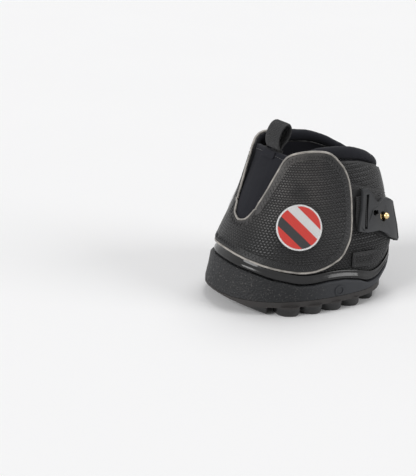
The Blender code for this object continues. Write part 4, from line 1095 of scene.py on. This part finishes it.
def smooth_run(points, steps=12):
    """Run a smooth curve through places."""
    points = [2 * points[0] - points[1], *points, 2 * points[-1] - points[-2]]
    run = []
    for a, b, c, d in zip(points, points[1:], points[2:], points[3:]):
        for step in range(steps):
            t = step / steps
            square = (2 * a - 5 * b + 4 * c - d) * t * t
            run.append((2 * b + (c - a) * t + square + (3 * b - a - 3 * c + d) * t ** 3) / 2)
    return [*run, points[-2]]


# Operators, one for each piece or group of like pieces

class HOOFBOOT_OT_sole(bpy.types.Operator):
    """Dress the outsole, the sole wall and the glossy rim"""
    bl_idname = "hoofboot.sole"
    bl_label = "Sole"

    def execute(self, context):
        rubber = context.scene.boot_rubber
        plate = sole_finish("outsole rubber", rubber.plate_colour)
        wall = wall_finish("sole wall rubber", rubber.wall_colour)
        hard_piece("tread", "outsole", plate, "boot", angle=38)
        hard_piece("sole_cup", "sole_wall", wall, "boot", angle=32)
        gloss = gloss_finish("glossy rim rubber")
        hard_piece("glossy_rim", "gloss_rim", gloss, "boot", levels=2, angle=60)
        return {"FINISHED"}


class HOOFBOOT_OT_floor(bpy.types.Operator):
    """Dress the insole board and pad the footbed"""
    bl_idname = "hoofboot.floor"
    bl_label = "Footbed"

    def execute(self, context):
        board = rubber_finish("insole fibreboard", (0.10, 0.085, 0.07), 0.85)
        hard_piece("insole_board", "insole", board, "boot", edge=0.0003)
        pad = copy_node("footbed", "footbed_pad")
        puff(pad, voxel=0.0016, pressure=1.5, cap=0.0006, levels=0)
        cloth = foam_finish("footbed cloth", (0.030, 0.030, 0.034))
        seat(shade(pad, 60), cloth, "boot", "footbed")
        return {"FINISHED"}


class HOOFBOOT_OT_lining(bpy.types.Operator):
    """Dress the lining and inflate the rolled collar"""
    bl_idname = "hoofboot.lining"
    bl_label = "Lining and collar"

    def execute(self, context):
        for node, name in (("neoprene_lining", "lining"), ("toe_lining", "lining_toe")):
            lining = plain_sheet(node, name, LINING_THICKNESS, shared("jersey neoprene"), "boot")
        collar = subdivide(copy_node("padded_collar", "collar_roll"), 1)
        puff(collar, voxel=0.0017, pressure=3.0, cap=0.0009)
        grow(collar, COLLAR_FILL)
        seat(shade(collar, 80), shared("jersey neoprene"), "boot", "padded_collar")
        return {"FINISHED"}


class HOOFBOOT_OT_toe(bpy.types.Operator):
    """Dress the toe cap and its stiffener"""
    bl_idname = "hoofboot.toe"
    bl_label = "Toe cap"

    def execute(self, context):
        leather = leather_finish("smooth leather", context.scene.boot_upper, embossed=False)
        plain_sheet("toe_box", "toe_cap", QUARTER_THICKNESS, leather, "boot")
        foam = foam_finish("toe stiffener foam", (0.03, 0.03, 0.03))
        stiffener = plain_sheet("toe_puff", "toe_stiffener", PUFF_THICKNESS, foam, "boot")
        return {"FINISHED"}


class HOOFBOOT_OT_vamp(bpy.types.Operator):
    """Sew the vamp between the flaps, with its zigzags and piping"""
    bl_idname = "hoofboot.vamp"
    bl_label = "Vamp"

    def execute(self, context):
        vamp, tree, runs, _ = sewn_panel("toe_vamp", "vamp", FLAP_THICKNESS, folds=SIDES)
        seat(vamp, None, "boot", "toe_vamp")
        seat(zigzags("vamp_zigzag", runs, tree), shared("black thread"), "boot", slot="leather")
        piping = bindings("vamp_binding", runs, tree)
        seat(piping, shared("reflective piping"), "boot", "notch_piping", "toe_piping")
        return {"FINISHED"}


class HOOFBOOT_OT_flaps(bpy.types.Operator):
    """Sew the closing flaps with zigzags, piping and tape"""
    bl_idname = "hoofboot.flaps"
    bl_label = "Closing flaps"

    def execute(self, context):
        tape = fuzzy_finish("hook and loop", (0.014, 0.014, 0.015))
        for name, side in SIDES:
            body = f"{name}_flap"
            flap, tree, runs, planes = sewn_panel(
                body, f"{name}_closing_flap", FLAP_THICKNESS, side, ((name, side),))
            thread = zigzags(f"{name}_flap_zigzag", runs, tree)
            piping = bindings(f"{name}_flap_binding", runs, tree)
            spot, way = planes[0]
            for piece, material, nodes in (
                    (flap, None, (body,)), (thread, shared("black thread"), ()),
                    (piping, shared("reflective piping"), (f"{name}_flap_piping",))):
                finish_piece(piece, material, nodes)
                spot + way * FOLD_START
                spot + way * FOLD_END
                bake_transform(piece)
            for kind, seat_body in (("hook", body), ("loop", "boot")):
                plain_sheet(f"{name}_{kind}_patch", f"{name}_{kind}s", PATCH_THICKNESS, tape,
                            seat_body, side, levels=1)
        return {"FINISHED"}


class HOOFBOOT_OT_badges(bpy.types.Operator):
    """Embroider a striped badge and lay it on each flap, with its overcast rim"""
    bl_idname = "hoofboot.badges"
    bl_label = "Badges"

    def execute(self, context):
        sizes = context.scene.boot_badge
        cloth = badge_finish("badge embroidery", sizes)
        thread = thread_finish("badge rim thread", sizes.rim_colour)
        reach = sizes.radius - sizes.rim_radius
        for name, _ in SIDES:
            leather = skin_tree(bpy.data.objects[f"{name}_closing_flap"])
            middle = Vector(corners(frame["nodes"][f"{name}_badge"]).mean(axis=0))
            normal = leather.find_nearest(middle)[1]
            if normal.dot(outward(middle)) < 0:
                normal.negate()
            right = Vector((0, 0, 1)).cross(normal).normalized()
            up = normal.cross(right)

            def laid(x, y, lift):
                start = middle + right * x + up * y + normal * sizes.radius
                return leather.ray_cast(start, -normal)[0] + normal * lift

            face = new_grid(f"{name}_badge_face", BADGE_SQUARES, BADGE_SQUARES, 2)
            square = corners(face)[:, :2]
            flat = square * np.sqrt(1 - square[:, ::-1] ** 2 / 2) * reach
            stripe = flat.sum(axis=1) * math.sqrt(0.5) / sizes.stripe_width + 0.5
            lifts = sizes.thickness + np.sqrt(np.abs(np.sin(math.pi * stripe))) * sizes.relief
            move_corners(face, [laid(x, y, lift) for (x, y), lift in zip(flat, lifts)])
            store_map(face, "badge", flat)
            modify(face, "SOLIDIFY", thickness=sizes.thickness - sizes.relief, offset=-1)
            seat(shade(face, 50), cloth, f"{name}_flap", f"{name}_badge")
            ring, overcast = [], []
            count = sizes.rim_stitches * TURN_STEPS
            for step in range(count):
                turn, wind = 2 * math.pi * step / count, 2 * math.pi * step / TURN_STEPS
                cos, sin = math.cos(turn), math.sin(turn)
                core = laid(reach * cos, reach * sin, sizes.thickness * 0.7)
                coil = (right * cos + up * sin) * math.cos(wind) + normal * math.sin(wind)
                ring.append(core)
                overcast.append(core + coil * sizes.rim_radius * 0.8)
            for run, (part, share, sides) in zip((ring[::4], overcast), RIM_CORDS):
                radius = sizes.rim_radius * share
                cord = cord_piece(f"{name}_badge_{part}", [run], radius, closed=True, sides=sides)
                seat(cord, thread, f"{name}_flap", slot="badge")
        return {"FINISHED"}


class HOOFBOOT_OT_quarters(bpy.types.Operator):
    """Sew the quarters with their seams, and the tabs at their feet"""
    bl_idname = "hoofboot.quarters"
    bl_label = "Quarters"

    def execute(self, context):
        band = context.scene.boot_upper.stitch_band
        for name, side in SIDES:
            node = f"{name}_quarter"
            quarter, tree, _, _ = sewn_panel(
                node, f"{node}_panel", QUARTER_THICKNESS, side, seams=QUARTER_SEAMS, levels=2)
            seat(quarter, None, "boot", node)
            runs = [resample(places_on(tree, seam, side), SEAM_STEP) for seam in QUARTER_SEAMS]
            sew(f"{node}_seams", runs, tree, "boot", "leather")
            tab, _ = sheet_skin(f"{name}_side_tab", f"{name}_foot_tab", TAB_THICKNESS, side)
            tree = skin_tree(tab)
            run = resample(open_edges(tab)[0], SEAM_STEP, closed=True)
            tag(tab, "edge", distances(tab, [run]) + band - 2 * SEAM_BAND)
            thicken(tab, TAB_THICKNESS)
            seat(tab, shared("embossed leather"), "boot", f"{name}_side_tab")
            inner = inset_run(run, tree, TAB_INSET)
            sew(f"{name}_foot_tab_stitches", [[*inner, inner[0]]], tree, "boot", "leather")
        return {"FINISHED"}


class HOOFBOOT_OT_tongue(bpy.types.Operator):
    """Pad the tongue, sew its seam and dress the pull loop's two ends on it"""
    bl_idname = "hoofboot.tongue"
    bl_label = "Tongue"

    def execute(self, context):
        tongue = copy_node("tongue", "tongue_pad")
        puff(tongue, voxel=0.0017, pressure=2.5, cap=0.0006)
        seat(shade(tongue, 80), shared("jersey neoprene"), "tongue", "tongue")
        tree = skin_tree(tongue)
        run = resample(places_on(tree, TONGUE_SEAM), SEAM_STEP)
        sew("tongue_seam", [run], tree, "tongue", "neoprene")
        for part, material in (("front", "jersey neoprene"), ("back", "ribbed webbing")):
            plain_sheet(f"loop_anchor_{part}", f"loop_end_{part}", ANCHOR_THICKNESS,
                        shared(material), "tongue")
        return {"FINISHED"}


class HOOFBOOT_OT_pull_loop(bpy.types.Operator):
    """Weave the ribbed webbing of the pull loop"""
    bl_idname = "hoofboot.pull_loop"
    bl_label = "Pull loop"

    def execute(self, context):
        sizes = context.scene.boot_upper
        axis = Vector(JOINTS["pull_loop_swing"]["pos_m"])
        outline = [
            axis + Vector((0, LOOP_DEPTH * lean, LOOP_HEIGHT * rise))
            for lean, rise in LOOP_OUTLINE]
        line = resample(smooth_run(outline), sizes.rib_pitch / STEPS_PER_RIB)
        loop = new_grid("loop_strap", 16, len(line) - 1, 1)
        places = corners(loop)
        index = np.rint((places[:, 1] + 0.5) * (len(line) - 1)).astype(int)
        ahead = np.gradient(line, axis=0)
        out = np.column_stack((ahead[:, 0], -ahead[:, 2], ahead[:, 1]))
        out /= np.linalg.norm(out, axis=1, keepdims=True)
        across = places[:, :1]
        ribs = np.cos(index * 2 * math.pi / STEPS_PER_RIB)[:, None]
        selvedge = np.clip((np.abs(across) - SELVEDGE_START) / SELVEDGE_WIDTH, 0, 1) ** 2
        lift = ribs * sizes.rib_height * (1 - selvedge) - selvedge * LOOP_THICKNESS / 4
        tag(loop, "rib", (ribs[:, 0] + 1) / 2)
        sideways = np.column_stack((across * LOOP_WIDTH, 0 * across, 0 * across))
        move_corners(loop, line[index] + sideways + out[index] * lift)
        modify(loop, "SOLIDIFY", thickness=LOOP_THICKNESS, offset=0, use_even_offset=True)
        with editing(loop):
            bpy.ops.mesh.normals_make_consistent(inside=False)
        cloth = webbing_finish("loop webbing", sizes.webbing_colour, ribbed=True)
        seat(shade(loop, 60), cloth, "pull_loop", "pull_loop")
        return {"FINISHED"}


class HOOFBOOT_OT_heel_strap(bpy.types.Operator):
    """Dress the elastic, the heel strap and its arms, with their raised lips and webbing"""
    bl_idname = "hoofboot.heel_strap"
    bl_label = "Heel strap"

    def execute(self, context):
        sizes = context.scene.boot_rubber
        rubber = rubber_finish("strap rubber", sizes.strap_colour)
        webbing = context.scene.boot_upper.webbing_colour
        elastic = webbing_finish("ribbed elastic", webbing, upright=True)
        plain_sheet("heel_band", "elastic_band", BAND_THICKNESS, elastic, "boot")
        lip = (sizes.lip_width, sizes.lip_height)
        hard_piece("heel_strap", "strap_back", rubber, "boot", edge=0.0003, lip=lip)
        for name, _ in SIDES:
            body = f"{name}_arm"
            for node, piece, material, edges in (
                    ("strap_arm", "arm_strap", rubber, lip),
                    ("webbing", "keeper", shared("ribbed webbing"), None)):
                hard_piece(
                    f"{name}_{node}", f"{name}_{piece}", material, body, edge=0.0002, lip=edges)
        return {"FINISHED"}


class HOOFBOOT_OT_studs(bpy.types.Operator):
    """Polish the ball studs and dress their screws"""
    bl_idname = "hoofboot.studs"
    bl_label = "Ball studs"

    def execute(self, context):
        brass = metal_finish("polished brass", context.scene.boot_rubber.brass_colour, 0.16)
        steel = metal_finish("screw steel", (0.55, 0.55, 0.56), 0.35)
        for name, _ in SIDES:
            hard_piece(f"{name}_stud", f"{name}_ball_stud", brass, "boot", levels=1, angle=50)
            hard_piece(f"{name}_stud_screw", f"{name}_screw", steel, "boot", edge=0.0002)
        return {"FINISHED"}


class HOOFBOOT_OT_stage(bpy.types.Operator):
    """Lay the floor, and set the lamps, the sky and the camera"""
    bl_idname = "hoofboot.stage"
    bl_label = "Stage"

    def execute(self, context):
        sizes = context.scene.boot_stage
        bpy.ops.object.select_all(action="DESELECT")
        bpy.ops.mesh.primitive_plane_add(size=sizes.floor_size)
        floor = name_new("floor")
        paper = Finish("white paper", roughness=0.9, specular_ior_level=0.1)
        grain = paper.noise(3.0, 2.0)
        paper.set("Base Color", paper.blend(grain, (0.915, 0.915, 0.92), (0.93, 0.93, 0.935)))
        floor.data.materials.append(paper.material)
        for name, (turn, height), power in (
                ("key", KEY_ANGLES, sizes.key_power), ("fill", FILL_ANGLES, sizes.fill_power),
                ("back", BACK_ANGLES, sizes.back_power)):
            light = bpy.data.lights.new(name, "SUN")
            light.energy, light.angle = power, sizes.lamp_angle
            lamp = link_new(name, light)
            lamp.rotation_euler = (math.radians(90 - height), 0, math.radians(turn))
        sky = Finish("studio", "worlds", "Background", color=(1, 1, 1, 1))
        rays = sky.node("LightPath").socket.node.outputs
        seen, mirrored, through = (
            Wire(sky, rays[f"Is {kind} Ray"]) for kind in ("Camera", "Glossy", "Transmission"))
        white = seen.maths("MAXIMUM", mirrored).maths("MAXIMUM", through)
        sky.set("Strength", sizes.sky_power + white * (1 - sizes.sky_power))
        context.scene.world = sky.material
        lens = bpy.data.cameras.new("camera")
        lens.sensor_fit = "VERTICAL"
        lens.sensor_height = SENSOR_HEIGHT
        lens.lens = FOCAL_PIXELS / IMAGE_HEIGHT * SENSOR_HEIGHT
        lens.clip_start = 0.01
        camera = link_new("camera", lens)
        camera.location = CAMERA_PLACE
        camera.rotation_euler = (math.pi / 2 - CAMERA_DIP, 0, CAMERA_TURN)
        context.scene.camera = camera
        context.scene.view_settings.view_transform = "Standard"
        return {"FINISHED"}


GROUPS = {
    "boot_upper": UpperSizes, "boot_rubber": RubberSizes,
    "boot_badge": BadgeSizes, "boot_stage": StageSizes,
}
OPERATORS = (
    HOOFBOOT_OT_sole, HOOFBOOT_OT_floor, HOOFBOOT_OT_lining, HOOFBOOT_OT_toe, HOOFBOOT_OT_vamp,
    HOOFBOOT_OT_flaps, HOOFBOOT_OT_badges, HOOFBOOT_OT_quarters, HOOFBOOT_OT_tongue,
    HOOFBOOT_OT_pull_loop, HOOFBOOT_OT_heel_strap, HOOFBOOT_OT_studs, HOOFBOOT_OT_stage,
)


class HOOFBOOT_PT_looks(bpy.types.Panel):
    """Lists the boot's pieces, with their sizes and colours"""
    bl_idname = "HOOFBOOT_PT_looks"
    bl_label = "Hoof Boot"
    bl_space_type = "VIEW_3D"
    bl_region_type = "UI"
    bl_category = "Hoof Boot"

    def draw(self, context):
        for operator in OPERATORS:
            self.layout.operator(operator.bl_idname)
        for key, group in GROUPS.items():
            column = self.layout.column()
            for name in group.__annotations__:
                column.prop(getattr(context.scene, key), name)


def register():
    """Add the groups, the operators and the panel."""
    for group in (*GROUPS.values(), *OPERATORS, HOOFBOOT_PT_looks):
        bpy.utils.register_class(group)
    for key, group in GROUPS.items():
        setattr(bpy.types.Scene, key, bpy.props.PointerProperty(type=group))


def unregister():
    """Take the groups, the operators and the panel away."""
    for key in GROUPS:
        delattr(bpy.types.Scene, key)
    for group in (HOOFBOOT_PT_looks, *reversed(OPERATORS), *GROUPS.values()):
        bpy.utils.unregister_class(group)


def main():
    """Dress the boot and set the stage."""
    register()
    for operator in OPERATORS:
        call = getattr(bpy.ops.hoofboot, operator.bl_idname.split(".")[1])
        call()


if __name__ == "__main__":
    main()
